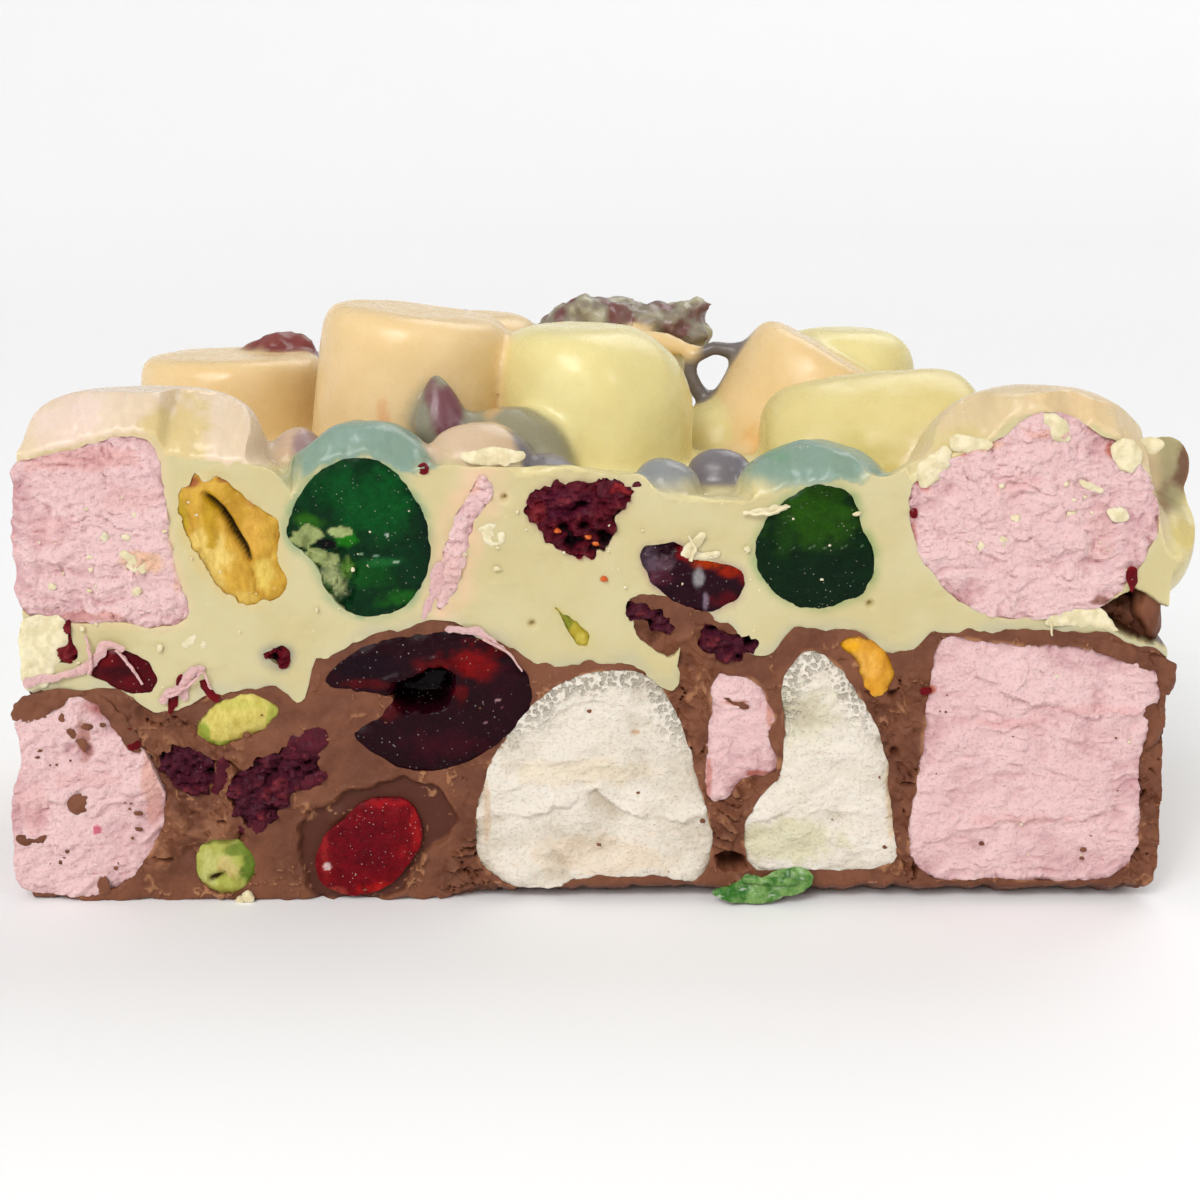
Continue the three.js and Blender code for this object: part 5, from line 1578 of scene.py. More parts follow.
PINK_FILMS = [
    ([(-70.1, 28.6), (-68.1, 29.4), (-65.4, 29.8), (-62.7, 30.6), (-61.0, 32.4), (-60.6, 33.7), (-59.1, 33.7),
      (-57.4, 33.0), (-57.7, 32.3), (-59.2, 32.7), (-59.9, 32.1), (-61.0, 30.6), (-62.7, 29.5), (-65.5, 28.9),
      (-67.6, 28.4), (-69.7, 27.9)], 0.6, 0.3),
    ([(-20.2, 42.6), (-18.8, 43.2), (-18.4, 40), (-20.2, 37.4), (-21.4, 36), (-21.6, 37.2), (-20.6, 39.8)],
     0.0, 0.3),
    ([(-18.4, 35.3), (-15, 35.3), (-12.4, 33.6), (-10.9, 32.2), (-12.4, 32.9), (-15.2, 34.4), (-18.2, 34.7)],
     0.3, 0.2),
    ([(-53.9, 26.1), (-53.1, 27.4), (-51.6, 28.1), (-50.6, 29.6), (-48.6, 30.5), (-47.9, 30.1), (-49.7, 28.4),
      (-50.5, 26.1), (-51.7, 27.0), (-53.0, 25.6)], 0.3, 0.25),
]  # fmt: skip
# Threads: points x, y, z with a radius.
PINK_THREADS = [
    [(-61.8, -0.8, 29.6, 0.25), (-61.6, -1.0, 32, 0.2), (-62.2, -0.7, 34.4, 0.15)],
    [(-58.4, -0.7, 32.6, 0.25), (-56.6, -1.0, 30.4, 0.2), (-55.6, -0.8, 28.4, 0.15)],
    [(-52.6, -0.7, 26.6, 0.25), (-50, -1.0, 28, 0.2), (-48.2, -1.0, 30, 0.15), (-47.2, -0.6, 27.6, 0.15)],
    [(-14, -0.7, 34, 0.2), (-11, -0.8, 32.2, 0.15), (-9.4, -0.6, 30, 0.12)],
]
WHITE_THREADS = [
    [(11, -0.6, 43.6, 0.25), (11.4, -1.0, 45.2, 0.2), (10.4, -0.8, 46.8, 0.12)],
    [(17, -0.6, 49.4, 0.25), (20, -1.0, 49.4, 0.25), (22.6, -0.7, 50.2, 0.15)],
    [(54.2, -0.5, 36.2, 0.15), (54.6, -0.9, 34.4, 0.12)],
]
CRANBERRY_LEAVES = [
    ([(-38.0, 21.3), (-35.3, 22.4), (-33.3, 22.0), (-33.6, 20.4), (-36.3, 18.4), (-39.1, 18.9)], 0.0, 0.4),
    ([(-36.8, 16.1), (-34.1, 17.0), (-33.7, 16.1), (-35.5, 14.7), (-37.4, 14.8)], 0.0, 0.4),
    ([(-45.2, 9.9), (-42.1, 10.8), (-40.7, 11.8), (-41.6, 9.3), (-43.9, 8.9)], 0.0, 0.4),
    ([(-46.4, 18.7), (-45.6, 17.9), (-46.4, 14.7), (-47.8, 14.2), (-47.5, 16.5)], 0.0, 0.35),
    ([(0.4, 53.2), (3, 53.2), (5.4, 52.9), (3.6, 51.7), (0.8, 51.1), (-0.4, 51.9)], 0.0, 0.3),
]  # fmt: skip
COATED_LUMPS = [  # in the cavity at the right: place and half sizes
    ((66.9, 4.4, 36.4), (1.9, 3.2, 3.4)), ((64.6, 5.6, 36), (2.2, 2, 2.4)), ((62.4, 6, 36.6), (2, 2.2, 1.6)),
]  # fmt: skip
SEEDS = [(-5.1, 47.2), (-0.5, 45.6), (-1.4, 46.4), (0.5, 41.3)]
FOOT_CRUMBS = [(-43.9, 0.7, 0.8), (-44.9, 0.3, 0.5)]  # x, z, half width
# Parts of the cut front that crumbs are spread over.
ON_WHITE = [(-68, 54), (-40, 50), (-10, 50), (40, 50), (40, 38), (0, 40), (-20, 38), (-66, 30)]
ON_MILK = [(-52, 24), (-38, 25), (38, 32), (38, 2), (-52, 1)]
ON_UPPER_LEFT = [(-68, 54), (-53, 54), (-51, 37), (-70, 38)]
ON_UPPER_RIGHT = [(42, 52), (52, 58), (63, 50), (64, 42), (52, 36), (41, 42)]
ON_LOWER_LEFT = [(-70, 22), (-60, 24), (-54, 14), (-58, 3), (-69, 3)]
ON_LOWER_RIGHT = [(40, 33), (66, 28), (66, 4), (40, 4)]


def loose_bits():
    """Piece name, meshes, slot and finish of everything that lies loose on the slice."""
    rng = np.random.default_rng(7)
    white = chips(WHITE_CHIPS, 300) + threads(WHITE_THREADS, 340)
    white += scattered(rng, 46, ON_WHITE, (0.12, 0.5))
    white += scattered(rng, 14, ON_UPPER_LEFT, (0.15, 0.7))
    white += scattered(rng, 22, ON_UPPER_RIGHT, (0.15, 0.8))
    white += scattered(rng, 10, ON_LOWER_RIGHT, (0.12, 0.35))
    white += [crumb((x, -0.5, z), (w, 0.5, w * 0.8), 3) for x, z, w in FOOT_CRUMBS]
    milk = chips(MILK_CHIPS, 360)
    milk += [crumb(place, size, 11 + k, ball_mesh(14)) for k, (place, size) in enumerate(COATED_LUMPS)]
    milk += scattered(rng, 26, ON_LOWER_LEFT, (0.15, 0.6))
    milk += scattered(rng, 30, ON_MILK, (0.12, 0.4))
    milk += scattered(rng, 16, ON_LOWER_RIGHT, (0.12, 0.4))
    pink = chips(PINK_FILMS, 400) + threads(PINK_THREADS, 420)
    seeds = [crumb((x, -0.3, z), (0.42, 0.3, 0.3), k) for k, (x, z) in enumerate(SEEDS)]
    return {
        "white_crumbs": (white, "white_chocolate", "white_crumbs"),
        "milk_flakes": (milk, "milk_chocolate", "milk_chocolate"),
        "cherry_slivers": (chips(SLIVERS, 380), "dark_cherry", "dark_cherry"),
        "pink_films": (pink, "pink_marshmallow", "pink_marshmallow"),
        "cranberry_leaves": (chips(CRANBERRY_LEAVES, 430), "cranberry", "cranberry"),
        "cranberry_seeds": (seeds, "cranberry", "seed"),
    }


SCRAP_LEAVES = [  # thin leaves of the green scrap: outline on its own plane, lift, thickness
    ([(14, 1.5), (15.2, 2.3), (17.1, 2.9), (18.3, 3.7), (19.9, 3.3), (22.4, 4.3), (24.9, 4.6), (26.4, 3.8),
      (26.2, 2.5), (25, 1.6), (23.1, 1.2), (21.6, 0.5), (19.4, 0.35), (16.8, 0.5)], 0.1, 0.35),
    ([(17.4, 3.2), (19.6, 3.0), (22.6, 2.7), (24.6, 3.1), (23.4, 3.7), (20.6, 3.6), (18.4, 4.0)], 0.6, 0.25),
    ([(15.6, 2.0), (19, 1.9), (23, 2.2), (21, 1.3), (17.6, 1.0)], 0.55, 0.25),
]  # fmt: skip


SCRAP_OUT, SCRAP_TILT, SCRAP_PITCH, SCRAP_ROUGH = 1.0, (0, -0.35), 0.16, 0.12


def green_scrap():
    """The flattened green scrap at the foot of the slice, as a few thin leaves."""
    return [
        chip(line, SCRAP_OUT + lift, thick, 440 + k, SCRAP_TILT, SCRAP_PITCH, SCRAP_ROUGH)
        for k, (line, lift, thick) in enumerate(SCRAP_LEAVES)
    ]


# ------------------------------------------------------------------------------------- finishes


class Shader:
    """A material with short calls for the nodes that it needs."""

    def __init__(self, name, **sockets):
        self.material = bpy.data.materials.new(name)
        self.material.use_nodes = True
        self.tree = self.material.node_tree
        self.bsdf = self.tree.nodes["Principled BSDF"]
        self.place = self.node("ShaderNodeTexCoord").outputs["Object"]
        for key, value in sockets.items():
            self.bsdf.inputs[key.replace("_", " ")].default_value = value

    def node(self, kind, **settings):
        node = self.tree.nodes.new(kind)
        for key, value in settings.items():
            setattr(node, key, value)
        return node

    def link(self, source, target):
        if isinstance(source, (int, float, tuple)):
            target.default_value = source
        else:
            self.tree.links.new(source, target)

    def noise(self, size, detail=3.0, rough=0.55, stretch=None, distort=0.0):
        """Noise from 0 to 1 whose blobs are about size millimetres."""
        node = self.node("ShaderNodeTexNoise")
        node.inputs["Scale"].default_value = 1 / (size * MM)
        node.inputs["Detail"].default_value = detail
        node.inputs["Roughness"].default_value = rough
        node.inputs["Distortion"].default_value = distort
        self.link(self.stretched(stretch), node.inputs["Vector"])
        return node.outputs["Fac"]

    def stretched(self, stretch):
        if stretch is None:
            return self.place
        node = self.node("ShaderNodeVectorMath", operation="MULTIPLY")
        self.link(self.place, node.inputs[0])
        node.inputs[1].default_value = stretch
        return node.outputs[0]

    def cells(self, size):
        """Distance from the middles of cells about size millimetres wide."""
        node = self.node("ShaderNodeTexVoronoi")
        node.inputs["Scale"].default_value = 1 / (size * MM)
        self.link(self.place, node.inputs["Vector"])
        return node.outputs["Distance"]

    def attribute(self, name, output="Fac"):
        return self.node("ShaderNodeAttribute", attribute_name=name).outputs[output]

    def spread(self, value, low, high, start=0.0, stop=1.0):
        """Maps low..high to start..stop smoothly, and holds it there outside."""
        node = self.node("ShaderNodeMapRange", interpolation_type="SMOOTHSTEP")
        self.link(value, node.inputs["Value"])
        for key, number in zip(("From Min", "From Max", "To Min", "To Max"), (low, high, start, stop)):
            node.inputs[key].default_value = number
        return node.outputs["Result"]

    def math(self, operation, a, b):
        node = self.node("ShaderNodeMath", operation=operation)
        self.link(a, node.inputs[0])
        self.link(b, node.inputs[1])
        return node.outputs[0]

    def mix(self, factor, a, b, blend="MIX"):
        node = self.node("ShaderNodeMix", data_type="RGBA", blend_type=blend)
        self.link(factor, node.inputs["Factor"])
        self.link(a, node.inputs["A"])
        self.link(b, node.inputs["B"])
        return node.outputs["Result"]

    def times(self, colour, other):
        return self.mix(1.0, colour, other, "MULTIPLY")

    def bump(self, height, distance, strength, below=None):
        node = self.node("ShaderNodeBump")
        node.inputs["Distance"].default_value = distance * MM
        node.inputs["Strength"].default_value = strength
        self.link(height, node.inputs["Height"])
        if below is not None:
            self.link(below, node.inputs["Normal"])
        return node.outputs["Normal"]

    def finish(self, colour=None, rough=None, normal=None):
        for source, key in ((colour, "Base Color"), (rough, "Roughness"), (normal, "Normal")):
            if source is not None:
                self.link(source, self.bsdf.inputs[key])
        return self.material


def under_skin(weight, radius, scale):
    """Sockets for light that goes in and comes out nearby; scale in millimetres."""
    return {"Subsurface_Weight": weight, "Subsurface_Radius": radius, "Subsurface_Scale": scale * MM}


def white_chocolate():
    skin = under_skin(0.3, (1.0, 0.75, 0.45), 1.6)
    s = Shader("white chocolate", IOR=1.45, Specular_IOR_Level=0.45, **skin)
    tint = s.attribute("tint", "Color")
    cloudy = s.mix(s.spread(s.noise(9), 0.35, 0.65), (1, 1, 1, 1), (0.95, 0.93, 0.86, 1), "MULTIPLY")
    colour = s.times(tint, cloudy)
    cut = s.attribute("cut")
    specks = s.spread(s.cells(1.1), 0.0, 0.16, 1.0, 0.0)
    speck_on = s.math("MULTIPLY", specks, s.math("MULTIPLY", cut, s.spread(s.noise(4), 0.56, 0.66)))
    colour = s.mix(speck_on, colour, linear(236, 226, 190))
    rough = s.math("ADD", s.spread(cut, 0, 1, 0.27, 0.48), s.spread(s.noise(2.5), 0.3, 0.7, -0.04, 0.08))
    smooth_bump = s.bump(s.noise(3.0, 2), 0.06, 0.4)
    grain = s.math("MULTIPLY", s.noise(0.35, 4, 0.65), s.spread(cut, 0, 1, 0.02, 1.0))
    return s.finish(colour, rough, s.bump(grain, 0.07, 0.7, smooth_bump))


def milk_chocolate():
    s = Shader("milk chocolate", IOR=1.46, Specular_IOR_Level=0.25, **under_skin(0.08, (1.0, 0.5, 0.3), 1.0))
    base = s.mix(s.spread(s.noise(5, 4), 0.35, 0.65), linear(104, 60, 41), linear(124, 76, 52))
    base = s.mix(s.spread(s.noise(0.9, 5, 0.7), 0.5, 0.8, 0, 0.35), base, linear(142, 94, 64))
    # Painted shade: darker where sunk is high, in the hollow round the red cherry and in cracks and pits
    # behind the cut.
    sunk = s.attribute("sunk")
    base = s.mix(s.spread(sunk, 0.0, 1.0), base, linear(84, 42, 28))
    # Paler where edge is high: painted highlight on flakes that stand out in front of the cut, and the paler
    # chocolate of the smear lines and the rims round the marshmallows.
    edge = s.attribute("edge")
    base = s.mix(s.spread(edge, 0.15, 0.9, 0, 0.75), base, linear(176, 124, 86))
    rough = s.spread(s.noise(1.4, 4), 0.3, 0.7, 0.36, 0.56)
    fine = s.bump(s.noise(0.45, 5, 0.75), 0.16, 0.9, s.bump(s.noise(2.4, 3), 0.2, 0.5))
    return s.finish(base, rough, fine)


def marshmallow(name, light, shade, rim_shade):
    s = Shader(name, IOR=1.35, Specular_IOR_Level=0.25, **under_skin(0.35, (1.0, 0.72, 0.62), 1.0))
    height = s.attribute("height")
    colour = s.mix(s.spread(height, -0.75, 0.35), shade, light)
    colour = s.mix(s.spread(s.noise(6, 3), 0.4, 0.7, 0, 0.35), colour, rim_shade)
    pores = s.spread(s.cells(0.42), 0.0, 0.55)
    colour = s.mix(s.spread(pores, 0, 1, 0.22, 0), colour, shade)
    colour = s.times(colour, s.attribute("tint", "Color"))
    foam = s.math("MULTIPLY", s.attribute("foam"), s.spread(s.cells(0.58), 0.34, 0.62, 1.0, 0.0))
    # Painted shade: grey in the middles of the open bubbles.
    colour = s.mix(s.math("MULTIPLY", foam, 0.9), colour, linear(172, 164, 148))
    soft = s.bump(s.noise(0.8, 5, 0.65, stretch=(1, 1, 1.4)), 0.26, 0.8)
    soft = s.bump(s.math("SUBTRACT", 1.0, foam), 0.30, 0.9, soft)
    return s.finish(colour, s.spread(s.noise(0.8), 0.3, 0.7, 0.75, 0.95), s.bump(pores, 0.10, 0.8, soft))


def cherry(name, sparkle=0.55, dot=0.9, vein=0.5, light=1.0):
    """Wet cut cherry: light dims the painted colour, sparkle is the strength of its painted glints, pale dots
    and faint streaks.
    """
    s = Shader(
        name, IOR=1.5, Specular_IOR_Level=0.06, Coat_Weight=0.06, Coat_Roughness=0.10,
        **under_skin(0.4, (1.0, 0.6, 0.4), 1.2),
    )  # fmt: skip
    tint = s.times(s.attribute("tint", "Color"), (light, light, light, 1))
    colour = s.mix(s.spread(s.noise(1.6, 4, 0.7), 0.3, 0.75), s.times(tint, (0.64, 0.64, 0.64, 1)), tint)
    scuffs = s.noise(0.8, 4, 0.7, stretch=(1, 1, 2.5))
    # Painted glints: pale dots in small cells and faint streaks, in noisy patches.
    glint_dots = s.spread(s.cells(dot), 0.05, 0.16, 1.0, 0.0)
    where = s.spread(s.noise(2.2, 3), 0.42, 0.58)
    glint_streaks = s.spread(s.noise(0.6, 2, 0.5, stretch=(0.35, 1, 2.4)), 0.72, 0.80)
    painted_glints = s.math("MULTIPLY", s.math("MAXIMUM", glint_dots, s.math("MULTIPLY", glint_streaks, 0.3)), where)
    veins = s.spread(s.noise(0.9, 5, 0.75, distort=1.2), 0.46, 0.70, 0.0, vein)
    colour = s.mix(veins, colour, s.times(tint, (0.35, 0.3, 0.35, 1)))
    colour = s.mix(s.math("MULTIPLY", painted_glints, sparkle), colour, linear(222, 214, 204))
    return s.finish(colour, s.spread(scuffs, 0.35, 0.7, 0.12, 0.34), s.bump(scuffs, 0.10, 0.55))


def cranberry():
    skin = under_skin(0.15, (1, 0.3, 0.3), 0.6)
    s = Shader("cranberry", IOR=1.45, Specular_IOR_Level=0.15, Coat_Weight=0.04, **skin)
    tint = s.attribute("tint", "Color")
    colour = s.mix(s.spread(s.noise(0.9, 4, 0.7), 0.35, 0.7), s.times(tint, (0.6, 0.55, 0.6, 1)), tint)
    colour = s.mix(s.spread(s.noise(0.6, 4), 0.64, 0.78, 0, 0.4), colour, linear(160, 70, 70))
    rough = s.spread(s.noise(0.6, 4), 0.3, 0.7, 0.3, 0.65)
    return s.finish(colour, rough, s.bump(s.noise(0.55, 5, 0.7), 0.28, 0.9))


def pistachio():
    s = Shader("pistachio", IOR=1.45, Specular_IOR_Level=0.3, **under_skin(0.25, (1, 0.8, 0.3), 1.0))
    tint = s.attribute("tint", "Color")
    dull = s.times(tint, (0.78, 0.70, 0.5, 1))
    colour = s.mix(s.spread(s.noise(1.1, 4, 0.7, stretch=(1, 1, 0.5)), 0.3, 0.65), dull, tint)
    colour = s.mix(s.spread(s.noise(0.7, 4), 0.6, 0.8, 0, 0.4), colour, linear(236, 214, 130))
    rough = s.spread(s.noise(0.9), 0.3, 0.7, 0.42, 0.62)
    return s.finish(colour, rough, s.bump(s.noise(0.6, 5, 0.65), 0.22, 0.8))


def crumbs():
    """Broken white chocolate: paler and duller than the cut."""
    s = Shader("white crumbs", IOR=1.45, Specular_IOR_Level=0.3, **under_skin(0.3, (1.0, 0.75, 0.45), 0.8))
    colour = s.mix(s.spread(s.noise(1.2, 3), 0.35, 0.65), linear(214, 200, 160), linear(232, 219, 184))
    rough = s.spread(s.noise(0.8), 0.3, 0.7, 0.45, 0.7)
    return s.finish(colour, rough, s.bump(s.noise(0.5, 4, 0.65), 0.12, 0.8))


def seed_finish():
    s = Shader("seed", IOR=1.45, Specular_IOR_Level=0.4)
    colour = s.mix(s.spread(s.noise(0.5, 2), 0.35, 0.65), linear(196, 70, 20), linear(206, 104, 34))
    return s.finish(colour, s.spread(s.noise(0.4), 0.3, 0.7, 0.2, 0.4))


def green_leaf():
    """A thin wet scrap of cherry skin that light comes through."""
    s = Shader("cherry scrap", IOR=1.45, Specular_IOR_Level=0.35, Transmission_Weight=0.25)
    colour = s.mix(s.spread(s.noise(2.2, 4, 0.6), 0.35, 0.65), linear(44, 110, 20), linear(136, 176, 96))
    # Pale streaks: painted highlights on the wet skin.
    pale = s.spread(s.noise(1.4, 3, stretch=(0.4, 1, 1)), 0.62, 0.7, 0, 0.8)
    colour = s.mix(pale, colour, linear(206, 218, 196))
    return s.finish(colour, s.spread(s.noise(0.9), 0.3, 0.7, 0.2, 0.4), s.bump(s.noise(0.9, 4), 0.2, 0.8))


COAT_COLOUR = linear(214, 201, 152)  # where the coat lies over plain chocolate
CUT_COLOUR = linear(203, 191, 146)
BLEED_COLOUR = linear(178, 176, 158)  # the white where milk chocolate shows through its thin edge
TINTS = {  # the coat over each kind of lump
    "peach": linear(232, 203, 152), "yellow": linear(231, 218, 156), "cream": linear(220, 198, 160),
    "pale": linear(224, 203, 178), "straw": linear(222, 206, 142), "shell": linear(166, 156, 118),
    "husk": linear(142, 138, 118), "cluster": linear(138, 128, 112), "slate": linear(112, 104, 104),
    "purple": linear(122, 116, 122), "berry": linear(104, 66, 74), "red": linear(128, 62, 58),
}  # fmt: skip
SWELL_TINTS = [  # the coat over the first swells, in their order; the others are plain
    linear(132, 156, 142), linear(132, 156, 142), linear(208, 182, 152), linear(150, 144, 118),
    linear(206, 178, 154), linear(122, 116, 122), linear(140, 142, 142),
]  # fmt: skip


def near_faces(points, reach=0.9):
    x, y, z = points.T
    near = np.minimum(np.minimum(y, DEPTH - y), x - SLAB_LEFT - left_lean(z))
    return smoothstep(reach, reach * 0.6, near)


def halo(outline, x, z, reach):
    """1 beside an outline on the cut front, falling to 0 at a reach from it."""
    low, high = outline.min(0) - reach - 1, outline.max(0) + reach + 1
    near = (x > low[0]) & (x < high[0]) & (z > low[1]) & (z < high[1])
    weight = np.zeros(x.shape)
    away = -outline_distance(outline, x[near], z[near])
    rough = 0.75 + 0.5 * noise(x[near] / 1.6, z[near] / 1.6, seed=91)
    weight[near] = np.clip(smoothstep(reach, -0.2, away) * rough, 0, 1)
    return weight


# How the juice of each kind tints the white chocolate beside it: colour, reach and strength.
HALOS = {
    "cherry_green_left": (linear(134, 160, 118), 1.3, 0.9),
    "cherry_green_right": (linear(146, 164, 108), 1.3, 0.9),
    "marshmallow_pink_strip": (linear(228, 190, 160), 3.4, 0.8),
    "cherry_dark_half": (linear(168, 142, 128), 0.8, 0.8),
    "cranberry_upper": (linear(186, 158, 132), 0.7, 0.7), "cranberry_chip": (linear(140, 138, 130), 1.2, 0.8),
    "pistachio_upper": (linear(208, 186, 128), 1.0, 0.7),
    "pistachio_sliver": (linear(196, 184, 118), 0.7, 0.7),
    "marshmallow_pink_upper_left": (linear(226, 194, 160), 1.3, 0.6),
    "marshmallow_pink_upper_right": (linear(206, 196, 160), 0.8, 0.6),
}  # fmt: skip


# Patches of another colour on the coat: place, half sizes, colour and strength.
STAINS = [
    ((-19.0, 11.5, 59.8), (2.3, 4, 4.4), linear(116, 62, 76), 0.9),
    ((-20.8, 11.5, 62.6), (1.2, 4, 3), linear(120, 70, 80), 0.7),
    ((-50.2, 4, 57.5), (4.4, 9, 5.4), linear(216, 194, 138), 0.9),
    ((-63, 3, 60), (5, 8, 4), linear(232, 208, 196), 0.7),
    ((42.6, 4, 54), (5, 9, 6), linear(216, 198, 142), 0.9),
    ((56, 3, 62), (7, 7, 3), linear(222, 192, 146), 0.6),
    ((33, 16, 52), (5, 8, 6), linear(206, 190, 110), 0.7),
    ((-27.4, 18, 55.5), (1.0, 6, 6), linear(222, 160, 104), 0.6),
    ((-13.4, 17, 56), (1.2, 6, 8), linear(224, 176, 116), 0.5),
    ((22, 36, 50), (3, 8, 5), linear(222, 176, 104), 0.7),
    ((-36, 8, 56.6), (2, 5, 2.4), linear(148, 122, 132), 0.8),
    ((71.8, 6, 54), (1.5, 5, 3.6), linear(106, 66, 46), 0.9),
    ((69.4, 4, 50.4), (1.4, 4, 2.4), linear(120, 84, 58), 0.7),
    ((66.4, 4, 57), (1.6, 4, 1.4), linear(206, 200, 160), 0.8),
    ((70.2, 5, 44.8), (2, 6, 4), linear(206, 186, 116), 0.7),
    ((21.5, 6, 55.5), (2, 4, 2), linear(90, 150, 110), 0.5),
]  # fmt: skip


def paint_white(piece, outlines):
    points = from_frame(mesh_points(piece.data))
    x, y, z = points.T
    facing = np.abs(mesh_points(piece.data, "normal")[:, 2])
    cut = near_faces(points) * smoothstep(0.85, 0.6, facing)
    cut = np.where(y < 12, cut * smoothstep(0.12, -0.1, over_cut(x, z)), cut)
    colour = np.tile(np.array(COAT_COLOUR[:3]), (len(points), 1))
    for swell, tint in zip(SWELLS, SWELL_TINTS):
        x0, y0, rx, ry = swell[:4]
        reach = np.hypot((x - x0) / (rx + 0.8), (y - y0) / (ry + 0.8)) + 0.12 * noise(x / 2, y / 2, seed=94)
        colour = blend_tint(colour, tint, smoothstep(1.05, 0.75, reach) * smoothstep(WHITE_BACK - 1, 54, z))
    mottle = fractal(x / 2.0, y / 2.0, z / 2.0, seed=95, octaves=3)
    for lump in LUMPS.values():
        away = lump_distance(lump, x, y, z)
        near = smoothstep(2.2, 0.2, away)
        colour = blend_tint(colour, TINTS[lump[4]], near)
        if lump[4] in ("cluster", "berry"):
            colour = blend_tint(colour, linear(112, 58, 62), near * smoothstep(0.15, 0.5, mottle) * 0.85)
            colour = blend_tint(colour, linear(182, 176, 148), near * smoothstep(-0.2, -0.6, mottle) * 0.8)
    for place, radius, tint, strength in STAINS:
        away = np.sqrt(sum(((a - b) / r) ** 2 for a, b, r in zip((x, y, z), place, radius)))
        colour = blend_tint(colour, tint, strength * smoothstep(1.15, 0.6, away + 0.3 * mottle))
    for line, tint in STRANDS:
        colour = blend_tint(colour, TINTS[tint], smoothstep(1.4, 0.1, strand_distance(line, x, y, z)))
    flat = np.tile(np.array(CUT_COLOUR[:3]), (len(points), 1))
    above_milk = z - milk_top(x, np.clip(y, 0, DEPTH))
    front = smoothstep(5, 3, y)
    bleed = smoothstep(2.2, 0.1, above_milk) * (0.5 + 0.5 * noise(x / 4, z / 4, seed=96))
    flat = blend_tint(flat, BLEED_COLOUR, np.clip(bleed, 0, 1) * 0.7)
    for name, (tint, reach, strength) in HALOS.items():
        if name in outlines:
            flat = blend_tint(flat, tint, front * strength * halo(outlines[name], x, z, reach))
    # Inside the cavity at the right the coat and the cut are painted dark brown: the milk chocolate in it,
    # darker still as painted shade.
    cavity = smoothstep(-0.6, 0.3, outline_distance(CAVITY, x, z))
    cavity = cavity * smoothstep(0.2, 1.2, y) * smoothstep(12, 9, y)
    colour = blend_tint(colour, linear(66, 36, 20), cavity)
    flat = blend_tint(flat, linear(84, 48, 28), cavity)
    store_colour(piece.data, "tint", colour * (1 - cut[:, None]) + flat * cut[:, None])
    store(piece.data, "cut", cut)


def paint_milk(piece, outlines):
    points = from_frame(mesh_points(piece.data))
    x, y, z = points.T
    front = smoothstep(2.2, 1.4, y)
    # Painted shade: the hollow round the red cherry, and the parts of the front that lie 0.5 to 3 mm behind
    # the cut, are darkened through sunk.
    sunk = smoothstep(-0.2, 0.4, outline_distance(RECESS_EDGE, x, z)) * front
    deep = smoothstep(0.5, 1.3, y) * smoothstep(3.0, 1.6, y)
    # Paler through edge: painted highlight where flakes stand out in front of the cut; along the smear lines
    # and round the marshmallows it is the paler chocolate there.
    edge = front * np.maximum(0.45 * smoothstep(-0.1, -0.8, y), 0.9 * smear_lines(x, z))
    for outline in outlines:
        rim = halo(outline, x, z, 0.7) * smoothstep(-0.2, 0.3, noise(x / 1.8, z / 1.8, seed=97))
        edge = np.maximum(edge, 0.9 * front * rim)
    store(piece.data, "sunk", np.clip(sunk * 0.9 + 0.6 * deep * front, 0, 1))
    store(piece.data, "edge", edge)


def finishes():
    return {
        "white_chocolate": white_chocolate(),
        "milk_chocolate": milk_chocolate(),
        "pink_marshmallow": marshmallow(
            "pink marshmallow", linear(226, 192, 190), linear(190, 140, 144), linear(216, 176, 176)
        ),
        "white_marshmallow": marshmallow(
            "white marshmallow", linear(228, 219, 206), linear(186, 172, 150), linear(220, 208, 188)
        ),
        "green_cherry": cherry("green cherry", 0.5, 0.6, 0.5, 0.74),
        "dark_cherry": cherry("dark cherry", 0.45, 0.7, 0.5, 0.78),
        "red_cherry": cherry("red cherry", 0.85, 0.5, 0.85),
        "cranberry": cranberry(),
        "pistachio": pistachio(),
        "white_crumbs": crumbs(),
        "seed": seed_finish(),
        "scrap": green_leaf(),
    }


def slot_of(name):
    kind = name.split("_")[0]
    if kind == "marshmallow":
        return "pink_marshmallow" if "pink" in name or "left_end" in name else "white_marshmallow"
    if kind == "cherry":
        if "green" in name or "left_end" in name:
            return "green_cherry"
        return "red_cherry" if "red" in name else "dark_cherry"
    return kind


# ------------------------------------------------------------------------------- the whole slice


LOOSE_TINTS = {
    "cranberry_leaves": (92, 24, 40), "cherry_slivers": (124, 14, 26), "pink_films": (255, 246, 244),
}  # fmt: skip


SHARP_ANGLE = 50


def dress(piece, slot, material, *nodes):
    piece.data.materials.clear()
    piece.data.materials.append(material)
    piece.data.shade_smooth()
    piece.data.set_sharp_from_angle(angle=math.radians(SHARP_ANGLE))
    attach(piece, "root")
    if nodes:
        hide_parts(*nodes)


MOST_TRIANGLES = 196000


def limit_faces(piece):
    count = sum(len(face.vertices) - 2 for face in piece.data.polygons)
    if count > MOST_TRIANGLES:
        modifier = piece.modifiers.new("fewer faces", "DECIMATE")
        modifier.ratio = MOST_TRIANGLES / count
        modifier.use_collapse_triangulate = True
        settle(piece)


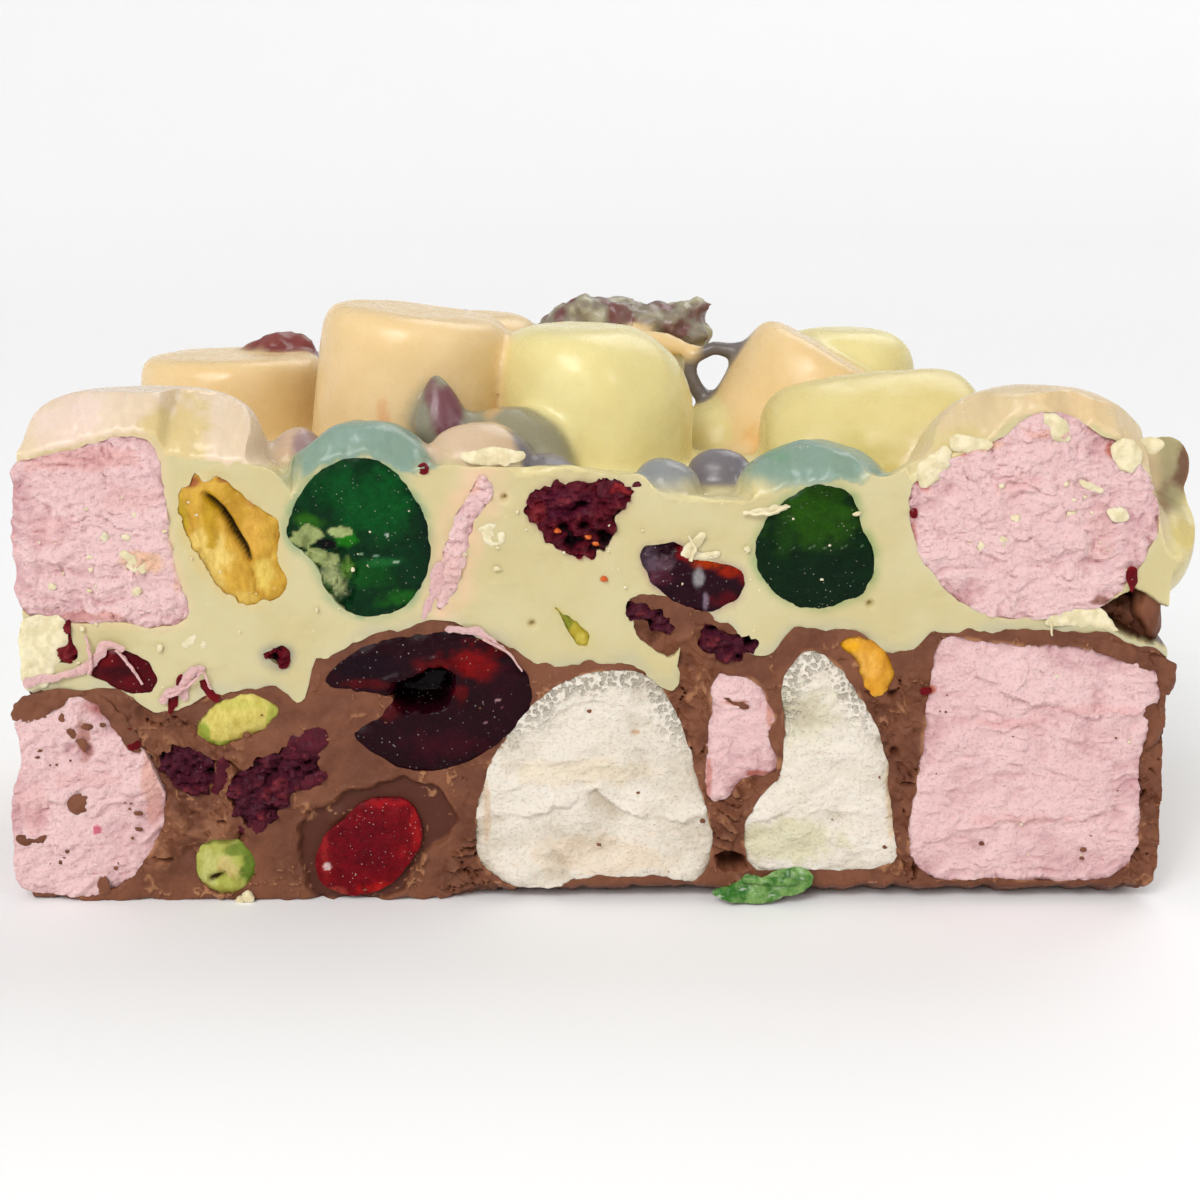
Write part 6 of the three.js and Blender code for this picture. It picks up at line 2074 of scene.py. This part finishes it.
def build_slice():
    looks = finishes()
    pieces, pockets = build_cut_pieces()
    milk, white = build_layers(pocket_cutters(pockets))
    limit_faces(milk)
    limit_faces(white)
    known = [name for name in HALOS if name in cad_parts]
    outlines = {name: rounded_outline(node_outline(name, FRONT)[0], 0.6) for name in known}
    paint_white(white, outlines)
    whites = [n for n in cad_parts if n.startswith("marshmallow") and face_of(n) is FRONT]
    rims = [rounded_outline(OUTLINES.get(n, node_outline(n, FRONT)[0]), 0.6) for n in whites]
    paint_milk(milk, [anticlockwise(rim) for rim in rims])
    coated = [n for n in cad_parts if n.startswith("coated_")]
    dress(white, "white_chocolate", looks["white_chocolate"], WHITE, *coated)
    dress(milk, "milk_chocolate", looks["milk_chocolate"], MILK)
    for name, piece in pieces.items():
        dress(piece, slot_of(name), looks[slot_of(name)], name)
    for name, (meshes, slot, finish) in loose_bits().items():
        piece = make_mesh(name, *joined(meshes))
        colour = LOOSE_TINTS.get(name, (255, 255, 255))
        tint = np.tile(np.array(linear(*colour)[:3]), (len(piece.data.vertices), 1))
        store_colour(piece.data, "tint", tint)
        dress(piece, slot, looks[finish])
    scrap = make_mesh("cherry_green_scrap_look", *joined(green_scrap()))
    dress(scrap, "green_cherry", looks["scrap"], "cherry_green_scrap")


# ------------------------------------------------------------------------------ floor and lights


FLOOR_RADIUS, FLOOR_CURVE, FLOOR_SIDES = 1.6, 0.9, 64  # metres, metres and a count


def bowl():
    """A round paper floor that curves up far from the slice, so that no view shows its end."""
    rings = [(0.4, 0.0), (FLOOR_RADIUS, 0.0)]
    for t in np.linspace(0.1, 1.4, 14):
        rings.append((FLOOR_RADIUS + FLOOR_CURVE * math.sin(t), FLOOR_CURVE - FLOOR_CURVE * math.cos(t)))
    count = FLOOR_SIDES
    corners = [(0.0, 0.0, 0.0)]
    for radius, height in rings:
        for k in range(count):
            turn = k / count * 2 * math.pi
            corners.append((radius * math.cos(turn), radius * math.sin(turn), height))
    faces = [(0, 1 + k, 1 + (k + 1) % count) for k in range(count)]
    for ring in range(len(rings) - 1):
        start = 1 + ring * count
        for k in range(count):
            j = (k + 1) % count
            faces.append((start + k, start + count + k, start + count + j, start + j))
    mesh = bpy.data.meshes.new("floor")
    mesh.from_pydata(corners, [], faces)
    mesh.shade_smooth()
    floor = bpy.data.objects.new("floor", mesh)
    bpy.context.scene.collection.objects.link(floor)
    paper = Shader("paper", Base_Color=linear(250, 250, 250), Roughness=0.9, Specular_IOR_Level=0.1)
    mesh.materials.append(paper.finish(normal=paper.bump(paper.noise(3), 0.02, 0.2)))


WORLD_STRENGTH = 0.42
SUNS = [  # name, direction towards the light, strength, softness in degrees
    ("sun_front", (-0.4, -1.0, 0.8), 1.5, 35),
    ("sun_back", (0.5, 1.0, 1.2), 0.8, 40),
]
LAMPS = [  # name, place and size in metres, power in watts
    ("softbox_left", (-0.32, -0.42, 0.42), 0.16, 0.30),
    ("sparkle", (-0.10, -0.36, 0.30), 0.03, 0.16),
    ("softbox_right", (0.40, -0.40, 0.36), 0.12, 0.25),
]
LAMP_TARGET = (0, 0, 0.03)


def studio():
    world = bpy.data.worlds.new("studio")
    bpy.context.scene.world = world
    world.use_nodes = True
    world.node_tree.nodes["Background"].inputs["Color"].default_value = (1, 1, 1, 1)
    world.node_tree.nodes["Background"].inputs["Strength"].default_value = WORLD_STRENGTH
    bowl()
    for light in SUNS:
        sun(*light)
    for light in LAMPS:
        lamp(*light)


def sun(name, towards, strength, softness):
    """Even light from a direction, as from a large panel far away."""
    light = bpy.data.lights.new(name, "SUN")
    light.energy = strength
    light.angle = math.radians(softness)
    holder = bpy.data.objects.new(name, light)
    holder.rotation_euler = Vector(towards).to_track_quat("Z", "Y").to_euler()
    bpy.context.scene.collection.objects.link(holder)


def lamp(name, place, size, power):
    """A small square light that makes the highlights."""
    light = bpy.data.lights.new(name, "AREA")
    light.size = size
    light.energy = power
    holder = bpy.data.objects.new(name, light)
    holder.location = place
    holder.rotation_euler = (Vector(LAMP_TARGET) - Vector(place)).to_track_quat("-Z", "Y").to_euler()
    bpy.context.scene.collection.objects.link(holder)


# The photograph was taken from just in front of the slice, a little above it.
CAMERA_DISTANCE, CAMERA_HEIGHT = 230.0, 93.0
CAMERA_DOWN = 13.3  # degrees below level
LENS, SENSOR = 58.83, 36.0


def camera():
    data = bpy.data.cameras.new("camera")
    data.lens = LENS
    data.sensor_width = SENSOR
    data.clip_start = 0.01
    holder = bpy.data.objects.new("camera", data)
    holder.location = to_frame((0, -CAMERA_DISTANCE, CAMERA_HEIGHT))
    holder.rotation_euler = (math.radians(90 - CAMERA_DOWN), 0, 0)
    bpy.context.scene.collection.objects.link(holder)
    bpy.context.scene.camera = holder
    bpy.context.scene.view_settings.view_transform = "Standard"


camera()
studio()
build_slice()
